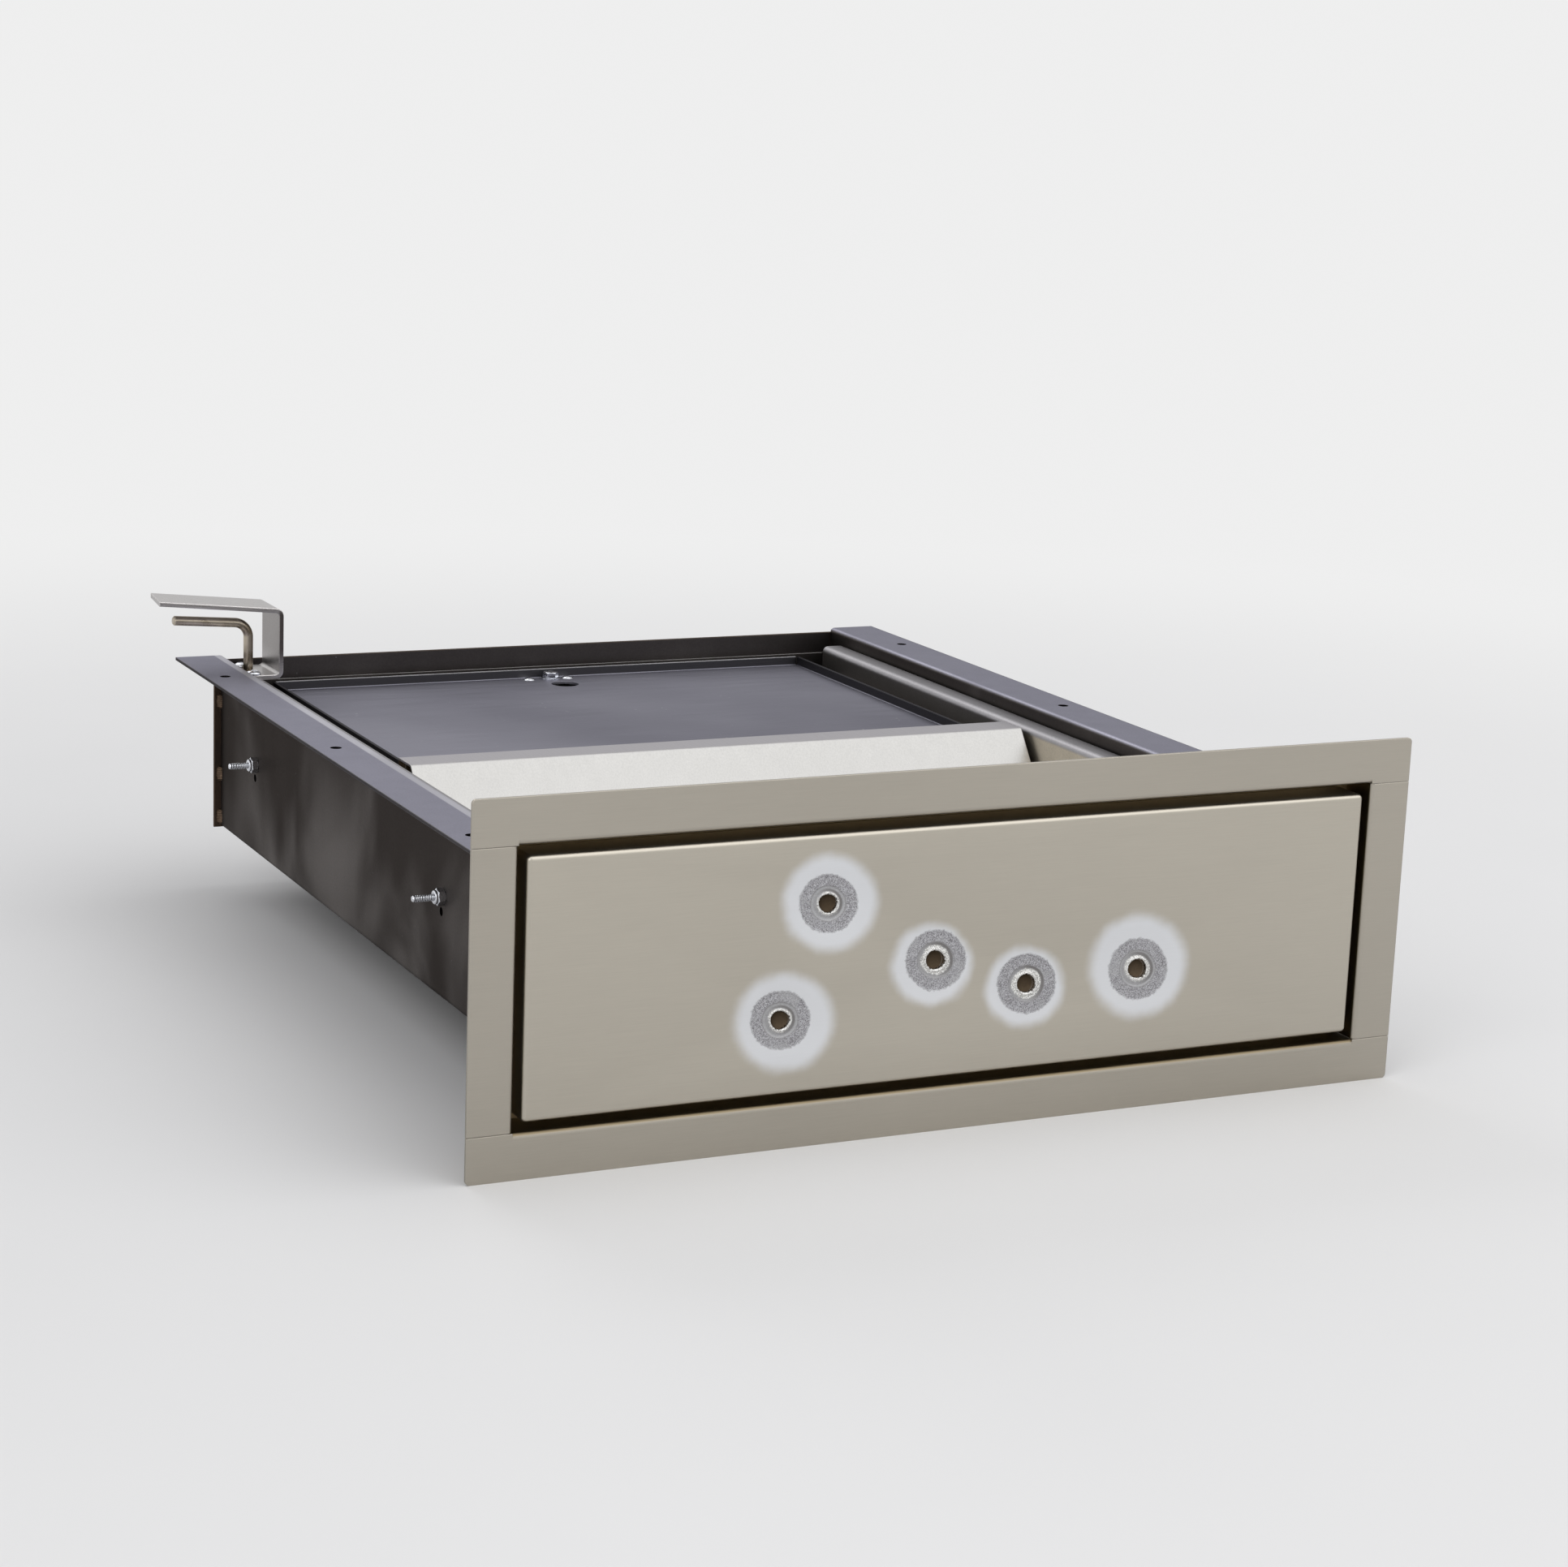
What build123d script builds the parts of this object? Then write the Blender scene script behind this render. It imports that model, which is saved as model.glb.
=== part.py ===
from build123d import *
from math import radians, tan
import os

os.makedirs("parts", exist_ok=True)

# A teller's deposit drawer, in millimetres. X runs right across the faceplate, Y from the
# customer to the teller, Z up. The origin is the middle of the four corner bolt holes, on
# top of the two flanges that hang from the counter.

# ---- Driving dimensions ----
# Sheet metal and clearances
GAUGE = 1.9  # faceplate, housing, drawer and deck sheet
INNER_BEND = 1.1  # inside radius of a fold
OUTER_BEND = INNER_BEND + GAUGE
FIT = 0.3  # gap between pieces that move past each other
SCREW_PLAY = 0.1  # radial play round a screw, bolt or rivet

# Faceplate: two rails and two stiles, folded back round the opening
FACE_WIDTH = 571.5
FACE_HEIGHT = 203.2
FRAME_BORDER = 25.4
FACE_DROP = 159.8  # lower edge below the flange tops
FACE_CORNER = 2.5
SEAM_GAP = 0.3  # between the ends of the stiles and the rails
POCKET_DEPTH = 24.0

# Housing: a folded trough hung by its flanges
HOUSING_HEIGHT = 118.6
HOUSING_STEP = 32.05  # from the faceplate's opening in to the side wall
FLANGE_WIDTH = 33.2
HOLE_OFFSET = 20.5  # flange holes outside the wall's inner face
HOLE_PITCH = 228.6
FRONT_HOLE = 98.4  # first flange hole behind the faceplate's front
FLANGE_HOLE_RADIUS = 3.175
RING_HEADROOM = 6.8  # top of the ring's aperture below the flange tops
REAR_OVERHANG = 4.6  # rear plate's edge beyond the side wall
REAR_DROP = 3.1  # rear plate's top below the flange tops
REAR_NOTCH = 6.0
BEAD_LEG = 3.5
BEAD_LENGTH = 10.0
BEAD_RISES = (2.0, 31.8, 81.8)  # middles of the stitch welds above the housing's floor
STOP_THICKNESS = 3.2
STOP_SIDE_GAP = 3.3
REAR_SPACE = 12.6  # behind the closed drawer, to the rear plate
STOP_HEIGHT = 82.5
STOP_RISE = 16.9  # above the floor
BUMPER_RADIUS = 9.5
BUMPER_SPREAD = 300.0
GASKET_THICKNESS = 1.7
GASKET_MARGIN = 2.0  # from the ring's aperture to the gasket
GASKET_EDGE = 2.5  # from the gasket to the panel's edge

# Slides: outer, middle and inner members with two rows of balls between each pair
SLIDE_SPACE = 14.5  # between the housing's wall and the drawer's side
SLIDE_LENGTH = 558.8
SLIDE_HEIGHT = 45.7
SLIDE_RISE = 58.4  # slide's centre line above the housing's floor
SLIDE_START = 40.0  # behind the faceplate's front
SLIDE_GAUGE = 1.5
OUTER_BALL_RADIUS = 2.1
INNER_BALL_RADIUS = 1.85
BALL_PLAY = 0.15
BALL_PITCH = 38.0
BALL_COUNT = 11
CAGE_THICKNESS = 0.8
CAGE_WIDTH = 5.6
CAGE_START = 76.2  # cage's front end behind the slide's
WEB_GAP = 0.6  # between the outer and the middle member's webs
FLANGE_PAST_BALL = 3.9  # from a ball's middle to its flange's free edge
SCREW_RADIUS = 2.085
SCREW_HEAD_RADIUS = 3.6
SCREW_TAIL = 18.6  # screw beyond the outside of the housing's wall
SCREW_FIRST = 150.4  # front screw behind the slide's front end
SCREW_SPACING = 356.4
PILOT_RADIUS = 2.4
PILOT_SHIFT = 3.0
PILOT_DROP = 9.5
NUT_FLATS = 9.0
NUT_HEIGHT = 6.0
NUT_COLLAR = 1.8
NUT_COLLAR_RADIUS = 4.1
RIVET_RADIUS = 2.4
RIVET_HEAD_RADIUS = 4.5
RIVET_HEAD = 1.2
RIVET_TAIL_RADIUS = 3.6
RIVET_FIRST = 40.0  # front rivet behind the slide's front end
RIVET_MIDDLE = 315.0
RIVET_SETBACK = 56.0  # rear rivet in front of the drawer's back

# Drawer box
DRAWER_LENGTH = 616.0  # from the panel's front to the back of the rear wall
SIDE_DROP = 9.3  # drawer's top below the flange tops
SIDE_RUNNING_GAP = 3.0  # under the drawer
SIDE_TOP_FLANGE = 14.1
SIDE_BOTTOM_FLANGE = 20.0
SIDE_ROLL = 4.0  # outside radius of the rolled top edge
RIGHT_SIDE_SETBACK = 9.0
PAN_DROP = 2.5  # tray's front wall below the drawer's top
REAR_WALL_HEIGHT = 70.1
REAR_RETURN = 26.0
REAR_LEDGE = 20.0

# Front panel: skin, armour, laminate and back plate
PANEL_SIDE_GAP = 4.85
PANEL_LIFT = 4.9  # above the opening's lower edge
PANEL_HEADROOM = 5.9
PANEL_DEPTH = 22.0
PANEL_RADIUS = 3.0
PANEL_FIT = 0.3
ARMOUR = 12.7
IMPACT_RADIUS = 4.3
CRATER_RADIUS = 7.0
CRATER_DEPTH = 3.0
IMPACTS = ((-84.6, 32.7), (-110.0, -29.3), (-18.7, -4.2), (38.9, -22.5), (110.0, -20.4))
BOLT_RADIUS = 4.0
BOLT_HEAD_RADIUS = 7.0
BOLT_HEAD = 5.0
BOLT_REACH = 8.0  # thread in the armour
BOLT_SPREAD = 300.0
BOLT_RISE = 60.0
BOLT_LOWER = 20.1  # lower bolts above the tray's floor

# Scoop and bulkhead
SCOOP_GAUGE = 1.5
SCOOP_SIDE_GAP = 3.9
SCOOP_REACH = 310.0  # top edge of the slope behind the faceplate's front
SCOOP_ANGLE = 37.2  # from vertical
SCOOP_FLANGE = 21.5
SCOOP_TOP_BEND = 3.0
SCOOP_RADIUS = 50.0
LINER_GAP = 4.1
BULKHEAD_SIDE_GAP = 4.9
BULKHEAD_SETBACK = 11.8  # behind the slope's top edge

# Deck over the rear compartment, hinged at its front
DECK_DROP = 14.5  # deck's top below the drawer's
DECK_SIDE_GAP = 14.4
DECK_OVERHANG = 2.5  # behind the drawer's rear wall
DECK_GAP = 4.0  # from the hinge's axis to the deck's front edge
RIM_HEIGHT = 6.0
RIM_BEND = 0.4  # inside radius of the turned-up rims
RIM_SETBACK = 20.5  # rims start behind the hinge's axis
FINGER_RADIUS = 9.5
FINGER_SPOT = (4.5, -25.0)  # from the middle of the drawer's rear wall
LEAF = 1.5
LEAF_DEPTH = 25.0
KNUCKLE_RADIUS = 3.0
KNUCKLE_LAP = 0.5
HINGE_END_GAP = 17.5  # from the hinge's end to the deck's side
KNUCKLE_COUNT = 9
PIN_RADIUS = 1.2
PIN_PLAY = 0.05
LEDGE_REACH = 21.9
LEDGE_DROP = 20.8
LEDGE_START = 6.5  # behind the hinge's axis
LEDGE_END_GAP = 2.0  # in front of the rear wall's returns
MAGNET = (16.0, 12.0)
MAGNET_SPREAD = 60.0
MAGNET_SETBACK = 10.0  # magnets' middle in front of the drawer's back
STRIKER = (80.0, 12.1)
STRIKER_BOLT_X = 1.0
RIM_CLEARANCE = 0.5  # from the deck's rear rim to the washer and the rivets
STRIKER_BOLT_RADIUS = 3.0
STRIKER_FLATS = 9.5
STRIKER_HEAD = 4.0
WASHER_RADIUS = 6.5
WASHER_THICKNESS = 1.2
STRIKER_NUT = 4.2
STRIKER_TAIL = 1.6
DOME_SPREAD = 28.6
DOME_RADIUS = 4.5
DOME_HEIGHT = 1.4
DOME_SHANK_RADIUS = 1.6

# Handle strap and the rod beside it
HANDLE_SETBACK = 12.5  # strap's middle in front of the drawer's back
STRAP_WIDTH = 38.0
STRAP_THICKNESS = 3.0
STRAP_FOOT = 25.5
STRAP_HEIGHT = 47.1  # from the drawer's top to the arm's top at the leg
STRAP_REACH = 84.0
STRAP_CLIMB = 5.3  # degrees
STRAP_BEND = 5.5
STRAP_SKEW = 4.5
STRAP_SCREW_OFFSETS = ((-0.45, -14.5), (-0.5, 13.5))
STRAP_HEAD_RADIUS = 4.8
STRAP_HEAD = 2.8
STRAP_NUT_FLATS = 7.0
STRAP_NUT = 3.2
STRAP_TAIL = 2.0
SPARE_RADIUS = 2.4
SPARE_SPOT = (2.0, -27.1)  # from the rod
ROD_RADIUS = 3.2
ROD_INSET = 5.2  # rod's axis outside the drawer's side
ROD_TAIL = 25.7  # below the drawer's top
ROD_HEIGHT = 35.2  # bend's corner above the drawer's top
ROD_REACH = 51.5
ROD_CLIMB = 4.0  # degrees
ROD_BEND = 10.0
ROD_BEVEL = 2.2
ROD_GUIDE_PLAY = 0.08
GUIDE_THICKNESS = 2.0
GUIDE_DROP = 14.5
GUIDE_WIDTH = 22.0
CLIP_RADIUS = 4.8
CLIP_THICKNESS = 1.0
KEEPER_THICKNESS = 3.0
KEEPER_DROP = 21.0
KEEPER_REACH = 12.8
KEEPER_LENGTH = 27.0
KEEPER_POST = 9.5
KEEPER_ARM_GAP = 1.0  # between the rod and the arm
KEEPER_POST_GAP = 0.8  # between the rod and the post

# ---- Positions worked out from them ----
FACE_Y = -(FRONT_HOLE + HOLE_PITCH)
FACE_BOTTOM = -FACE_DROP
FACE_TOP = FACE_BOTTOM + FACE_HEIGHT
FACE_HALF = FACE_WIDTH / 2
OPEN_HALF = FACE_HALF - FRAME_BORDER
OPEN_BOTTOM = FACE_BOTTOM + FRAME_BORDER
OPEN_TOP = FACE_TOP - FRAME_BORDER
RING_FRONT = FACE_Y + POCKET_DEPTH
SHELL_FRONT = RING_FRONT + GAUGE
DRAWER_BACK = FACE_Y + DRAWER_LENGTH
SHELL_BACK = DRAWER_BACK + REAR_SPACE
WALL_IN = OPEN_HALF - HOUSING_STEP
WALL_OUT = WALL_IN + GAUGE
FLOOR_BOTTOM = -HOUSING_HEIGHT
FLOOR_TOP = FLOOR_BOTTOM + GAUGE
STOP_FRONT = SHELL_BACK - STOP_THICKNESS
STOP_BOTTOM = FLOOR_TOP + STOP_RISE

SIDE_OUT = WALL_IN - SLIDE_SPACE
SIDE_IN = SIDE_OUT - GAUGE
DRAWER_TOP = -SIDE_DROP
PAN_BOTTOM = FLOOR_TOP + SIDE_RUNNING_GAP + GAUGE
TRAY_FLOOR = PAN_BOTTOM + GAUGE
PANEL_BACK = FACE_Y + PANEL_DEPTH
TRAY_FRONT = PANEL_BACK + GAUGE
PANEL_HALF = OPEN_HALF - PANEL_SIDE_GAP
PANEL_BOTTOM = OPEN_BOTTOM + PANEL_LIFT
PANEL_TOP = OPEN_TOP - PANEL_HEADROOM
PANEL_MIDDLE = (PANEL_BOTTOM + PANEL_TOP) / 2
PAN_HALF = SIDE_IN - INNER_BEND
BACK_PLATE_FRONT = PANEL_BACK - GAUGE
ARMOUR_FRONT = FACE_Y + GAUGE
ARMOUR_BACK = ARMOUR_FRONT + ARMOUR

SCOOP_HALF = SIDE_IN - SCOOP_SIDE_GAP
SCOOP_Y = FACE_Y + SCOOP_REACH
BULKHEAD_FRONT = SCOOP_Y + BULKHEAD_SETBACK
BULKHEAD_BACK = BULKHEAD_FRONT + ARMOUR
DECK_TOP = DRAWER_TOP - DECK_DROP
DECK_BOTTOM = DECK_TOP - GAUGE
DECK_HALF = SIDE_IN - DECK_SIDE_GAP
HINGE_Y = BULKHEAD_BACK + LEAF + KNUCKLE_RADIUS - KNUCKLE_LAP
HINGE_Z = DECK_BOTTOM - LEAF + KNUCKLE_RADIUS
DECK_FRONT = HINGE_Y + DECK_GAP
DECK_BACK = DRAWER_BACK + DECK_OVERHANG
LEAF_BOTTOM = DECK_BOTTOM - LEAF
CATCH_TOP = LEAF_BOTTOM - FIT
REAR_WALL_TOP = TRAY_FLOOR + REAR_WALL_HEIGHT

ROD_X = -SIDE_OUT - ROD_INSET
HANDLE_Y = DRAWER_BACK - HANDLE_SETBACK
STRAP_FRONT = HANDLE_Y - STRAP_WIDTH / 2
STRAP_BACK = HANDLE_Y + STRAP_WIDTH / 2
FLANGE_EDGE = SIDE_IN + SIDE_TOP_FLANGE
STRAP_LEG = -FLANGE_EDGE + STRAP_FOOT

SLIDE_Z = FLOOR_TOP + SLIDE_RISE
SLIDE_Y = FACE_Y + SLIDE_START
OUTER_FLANGE = SLIDE_HEIGHT / 2
MIDDLE_FLANGE = OUTER_FLANGE - SLIDE_GAUGE - 2 * (OUTER_BALL_RADIUS + BALL_PLAY)
INNER_FLANGE = MIDDLE_FLANGE - SLIDE_GAUGE - 2 * (INNER_BALL_RADIUS + BALL_PLAY)
OUTER_BALL_Z = MIDDLE_FLANGE + OUTER_BALL_RADIUS + BALL_PLAY
INNER_BALL_Z = INNER_FLANGE + INNER_BALL_RADIUS + BALL_PLAY
MIDDLE_WEB = WALL_IN - SLIDE_GAUGE - WEB_GAP
OUTER_BALL_X = SIDE_OUT + SLIDE_SPACE / 2
INNER_BALL_X = OUTER_BALL_X - SLIDE_GAUGE

HANDS = (("left", -1), ("right", 1))


# ---- Small helpers ----
def block(x, y, z, mode=Mode.ADD):
    """A box between two limits on each axis."""
    spans = (x, y, z)
    with Locations(tuple(sum(span) / 2 for span in spans)):
        Box(*[abs(span[1] - span[0]) for span in spans], mode=mode)


def facing(origin, direction):
    """A plane at a point, looking along a direction."""
    return Plane(origin=origin, z_dir=direction)


def stud(origin, direction, radius, length, mode=Mode.ADD):
    """A cylinder that starts at a point and runs along a direction."""
    with Locations(facing(origin, direction)):
        Cylinder(radius, length, align=(Align.CENTER, Align.CENTER, Align.MIN), mode=mode)


def folded(plane, points, radii, thickness, length):
    """A bent sheet. One face follows the points, the metal lies to the left of that path
    (to the right where the thickness is negative), and the length runs along the plane's normal."""
    corners = [Vector(*point) for point in points]
    runs = [(end - start).normalized() for start, end in zip(corners, corners[1:])]
    lefts = [Vector(-run.Y, run.X) * thickness for run in runs]
    far = [corners[0] + lefts[0]]
    far_radii = []
    for index, corner in enumerate(corners[1:-1]):
        before, after = lefts[index], lefts[index + 1]
        far.append(corner + (before + after) * (thickness**2 / (thickness**2 + before.dot(after))))
        turn = 1 if runs[index].cross(runs[index + 1]).Z > 0 else -1
        far_radii.append(radii[index] - turn * thickness)
    far.append(corners[-1] + lefts[-1])
    with BuildSketch(plane) as section:
        with BuildLine():
            FilletPolyline(*corners, radius=radii)
            FilletPolyline(*far, radius=far_radii)
            Line(corners[0], far[0])
            Line(corners[-1], far[-1])
        make_face()
    extrude(section.sketch, amount=length)


def save(piece, label):
    """Name a finished piece and write it."""
    piece.part.label = label
    export_step(piece.part, f"parts/{label}.step")


# ---- Faceplate ----
def rail(label, outer, edge):
    """A full-width rail: outer is its free edge, edge the side of the opening."""
    up = 1 if outer > edge else -1
    with BuildPart() as faceplate_rail:
        path = ((FACE_Y, outer), (FACE_Y, edge), (RING_FRONT, edge))
        folded(Plane.YZ.offset(-OPEN_HALF), path, (OUTER_BEND,), up * GAUGE, 2 * OPEN_HALF)
        for side in (-1, 1):
            ear = (side * OPEN_HALF, side * FACE_HALF)
            block(ear, (FACE_Y, FACE_Y + GAUGE), (edge, outer))
            corner = (side * OPEN_HALF, side * (OPEN_HALF + GAUGE))
            block(corner, (FACE_Y, RING_FRONT), (edge, edge + up * GAUGE))
        ends = faceplate_rail.edges().filter_by(Axis.Y)
        tips = [e for e in ends if abs(abs(e.center().X) - FACE_HALF) < FIT]
        fillet([e for e in tips if abs(e.center().Z - outer) < FIT], radius=FACE_CORNER)
    save(faceplate_rail, label)


rail("faceplate_top_rail", FACE_TOP, OPEN_TOP)
rail("faceplate_bottom_rail", FACE_BOTTOM, OPEN_BOTTOM)

for hand, side in HANDS:
    with BuildPart() as faceplate_stile:
        path = (
            (side * FACE_HALF, FACE_Y),
            (side * OPEN_HALF, FACE_Y),
            (side * OPEN_HALF, RING_FRONT),
        )
        height = OPEN_TOP - OPEN_BOTTOM - 2 * SEAM_GAP
        end = Plane.XY.offset(OPEN_BOTTOM + SEAM_GAP)
        folded(end, path, (OUTER_BEND,), -side * GAUGE, height)
    save(faceplate_stile, f"faceplate_{hand}_stile")


# ---- Housing ----
RING_TOP = -RING_HEADROOM
with BuildPart() as front_ring:
    block(
        (-OPEN_HALF - GAUGE, OPEN_HALF + GAUGE),
        (RING_FRONT, SHELL_FRONT),
        (OPEN_BOTTOM - GAUGE, OPEN_TOP + GAUGE),
    )
    block((-WALL_IN, WALL_IN), (RING_FRONT, SHELL_FRONT), (FLOOR_TOP, RING_TOP), Mode.SUBTRACT)
save(front_ring, "front_ring")

# Rubber loop on the ring, just behind the closed panel's edge
GASKET_Y = (RING_FRONT - GASKET_THICKNESS, RING_FRONT)
GASKET_IN = WALL_IN + GASKET_MARGIN
GASKET_OUT = PANEL_HALF - GASKET_EDGE
with BuildPart() as pocket_gasket:
    block((-GASKET_OUT, GASKET_OUT), GASKET_Y, (PANEL_BOTTOM + GASKET_EDGE, PANEL_TOP - GASKET_EDGE))
    aperture = (FLOOR_TOP - GASKET_MARGIN, RING_TOP + GASKET_MARGIN)
    block((-GASKET_IN, GASKET_IN), GASKET_Y, aperture, Mode.SUBTRACT)
save(pocket_gasket, "pocket_gasket")

# Trough: flange, wall, floor, wall, flange from one folded sheet
SCREW_YS = (SLIDE_Y + SCREW_FIRST, SLIDE_Y + SCREW_FIRST + SCREW_SPACING)
with BuildPart() as housing_shell:
    path = (
        (-WALL_IN - FLANGE_WIDTH, 0),
        (-WALL_IN, 0),
        (-WALL_IN, FLOOR_TOP),
        (WALL_IN, FLOOR_TOP),
        (WALL_IN, 0),
        (WALL_IN + FLANGE_WIDTH, 0),
    )
    bends = (OUTER_BEND, INNER_BEND, INNER_BEND, OUTER_BEND)
    folded(Plane.XZ.offset(-SHELL_BACK), path, bends, -GAUGE, SHELL_BACK - SHELL_FRONT)
    with GridLocations(2 * (WALL_IN + HOLE_OFFSET), HOLE_PITCH, 2, 3):
        Hole(FLANGE_HOLE_RADIUS, depth=2 * GAUGE)
    for hand, side in HANDS:
        for screw_y in SCREW_YS:
            with Locations(facing((side * WALL_OUT, screw_y, SLIDE_Z), (side, 0, 0))):
                Hole(SCREW_RADIUS + SCREW_PLAY, depth=GAUGE)
            pilot = (side * WALL_OUT, screw_y + PILOT_SHIFT, SLIDE_Z - PILOT_DROP)
            with Locations(facing(pilot, (side, 0, 0))):
                Hole(PILOT_RADIUS, depth=GAUGE)
save(housing_shell, "housing_shell")

# Plate welded on behind the trough, a little wider than it
REAR_HALF = WALL_OUT + REAR_OVERHANG
REAR_TOP = -REAR_DROP
with BuildPart() as housing_rear_wall:
    block((-REAR_HALF, REAR_HALF), (SHELL_BACK, SHELL_BACK + GAUGE), (FLOOR_BOTTOM, REAR_TOP))
    for hand, side in HANDS:
        notch = (side * (REAR_HALF - REAR_NOTCH), side * REAR_HALF)
        block(notch, (SHELL_BACK, SHELL_BACK + GAUGE), (REAR_TOP - REAR_NOTCH, REAR_TOP), Mode.SUBTRACT)
save(housing_rear_wall, "housing_rear_wall")

# Stitch welds in the corner between each side wall and the rear plate's edge
with BuildPart() as rear_weld_beads:
    for hand, side in HANDS:
        for rise in BEAD_RISES:
            bead_bottom = FLOOR_TOP + rise - BEAD_LENGTH / 2 + BEAD_LEG
            with BuildSketch(Plane.XY.offset(bead_bottom)):
                with BuildLine():
                    Polyline(
                        (side * WALL_OUT, SHELL_BACK),
                        (side * (WALL_OUT + BEAD_LEG), SHELL_BACK),
                        (side * WALL_OUT, SHELL_BACK - BEAD_LEG),
                        close=True,
                    )
                make_face()
            extrude(amount=BEAD_LENGTH)
save(rear_weld_beads, "rear_weld_beads")

with BuildPart() as rear_stop_plate:
    stop_half = WALL_IN - STOP_SIDE_GAP
    block((-stop_half, stop_half), (STOP_FRONT, SHELL_BACK), (STOP_BOTTOM, STOP_BOTTOM + STOP_HEIGHT))
save(rear_stop_plate, "rear_stop_plate")

with BuildPart() as rear_bumpers:
    for hand, side in HANDS:
        seat = (side * BUMPER_SPREAD / 2, STOP_FRONT, STOP_BOTTOM + STOP_HEIGHT / 2)
        stud(seat, (0, -1, 0), BUMPER_RADIUS, STOP_FRONT - DRAWER_BACK - FIT)
save(rear_bumpers, "rear_bumpers")

# Keeper on the left wall: an arm past the lock rod, with a post behind it
KEEPER_TOP = DRAWER_TOP - KEEPER_DROP
KEEPER_ARM = ROD_X - ROD_RADIUS - KEEPER_ARM_GAP
POST_FRONT = HANDLE_Y + ROD_RADIUS + KEEPER_POST_GAP
with BuildPart() as lock_keeper:
    thickness = (KEEPER_TOP - KEEPER_THICKNESS, KEEPER_TOP)
    block((-WALL_IN, KEEPER_ARM), (POST_FRONT + KEEPER_POST - KEEPER_LENGTH, POST_FRONT), thickness)
    block((-WALL_IN, -WALL_IN + KEEPER_REACH), (POST_FRONT, POST_FRONT + KEEPER_POST), thickness)
save(lock_keeper, "lock_keeper")


# ---- Slides ----
RIVET_YS = (SLIDE_Y + RIVET_FIRST, SLIDE_Y + RIVET_MIDDLE, DRAWER_BACK - RIVET_SETBACK)


def channel(web_outside, flange_x, flange_z, side):
    """A C-shaped slide member: its web's outer face, its flanges' free edge and half height."""
    turn = 1 if abs(flange_x) < abs(web_outside) else -1
    web = (web_outside, web_outside - side * turn * SLIDE_GAUGE)
    length = (SLIDE_Y, SLIDE_Y + SLIDE_LENGTH)
    block(web, length, (SLIDE_Z - flange_z, SLIDE_Z + flange_z))
    for up in (-1, 1):
        flange = (SLIDE_Z + up * (flange_z - SLIDE_GAUGE), SLIDE_Z + up * flange_z)
        block((web_outside, flange_x), length, flange)


def ball_stations():
    """The balls' places along the slide."""
    first = SLIDE_Y + CAGE_START + BALL_PITCH / 2
    return [first + index * BALL_PITCH for index in range(BALL_COUNT)]


for hand, side in HANDS:
    with BuildPart() as slide_outer:
        channel(side * WALL_IN, side * (OUTER_BALL_X - FLANGE_PAST_BALL), OUTER_FLANGE, side)
        for screw_y in SCREW_YS:
            seat = (side * (WALL_IN - SLIDE_GAUGE), screw_y, SLIDE_Z)
            with Locations(facing(seat, (-side, 0, 0))):
                CounterSinkHole(
                    SCREW_RADIUS + SCREW_PLAY,
                    SCREW_HEAD_RADIUS + SCREW_PLAY,
                    depth=2 * SLIDE_GAUGE,
                    counter_sink_angle=90,
                )
    save(slide_outer, f"slide_outer_{hand}")

    with BuildPart() as slide_middle:
        channel(side * MIDDLE_WEB, side * (INNER_BALL_X - FLANGE_PAST_BALL), MIDDLE_FLANGE, side)
    save(slide_middle, f"slide_middle_{hand}")

    with BuildPart() as slide_inner:
        channel(side * SIDE_OUT, side * (INNER_BALL_X + FLANGE_PAST_BALL), INNER_FLANGE, side)
        for rivet_y in RIVET_YS:
            web_face = (side * (SIDE_OUT + SLIDE_GAUGE), rivet_y, SLIDE_Z)
            with Locations(facing(web_face, (side, 0, 0))):
                Hole(RIVET_RADIUS + SCREW_PLAY, depth=SLIDE_GAUGE)
    save(slide_inner, f"slide_inner_{hand}")

    # Two ball strips in each race, above and below
    races = (
        ("outer", OUTER_BALL_X, OUTER_BALL_Z, OUTER_BALL_RADIUS),
        ("inner", INNER_BALL_X, INNER_BALL_Z, INNER_BALL_RADIUS),
    )
    for race, ball_x, ball_z, radius in races:
        with BuildPart() as cage:
            for up in (-1, 1):
                level = SLIDE_Z + up * ball_z
                block(
                    (side * ball_x - CAGE_WIDTH / 2, side * ball_x + CAGE_WIDTH / 2),
                    (SLIDE_Y + CAGE_START, SLIDE_Y + CAGE_START + BALL_COUNT * BALL_PITCH),
                    (level - CAGE_THICKNESS / 2, level + CAGE_THICKNESS / 2),
                )
                with Locations([(side * ball_x, y, level) for y in ball_stations()]):
                    Cylinder(radius + BALL_PLAY, 2 * CAGE_THICKNESS, mode=Mode.SUBTRACT)
        save(cage, f"cage_{race}_{hand}")

        with BuildPart() as balls:
            for up in (-1, 1):
                with Locations([(side * ball_x, y, SLIDE_Z + up * ball_z) for y in ball_stations()]):
                    Sphere(radius)
        save(balls, f"balls_{race}_{hand}")

# Countersunk screws through the slides' webs and the housing's walls
with BuildPart() as slide_screws:
    for hand, side in HANDS:
        for screw_y in SCREW_YS:
            start = (side * (WALL_IN - SLIDE_GAUGE), screw_y, SLIDE_Z)
            reach = SLIDE_GAUGE + GAUGE + SCREW_TAIL
            stud(start, (side, 0, 0), SCREW_RADIUS, reach)
            with Locations(facing(start, (side, 0, 0))):
                Cone(
                    SCREW_HEAD_RADIUS,
                    SCREW_RADIUS,
                    SCREW_HEAD_RADIUS - SCREW_RADIUS,
                    align=(Align.CENTER, Align.CENTER, Align.MIN),
                )
save(slide_screws, "slide_screws")

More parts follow.
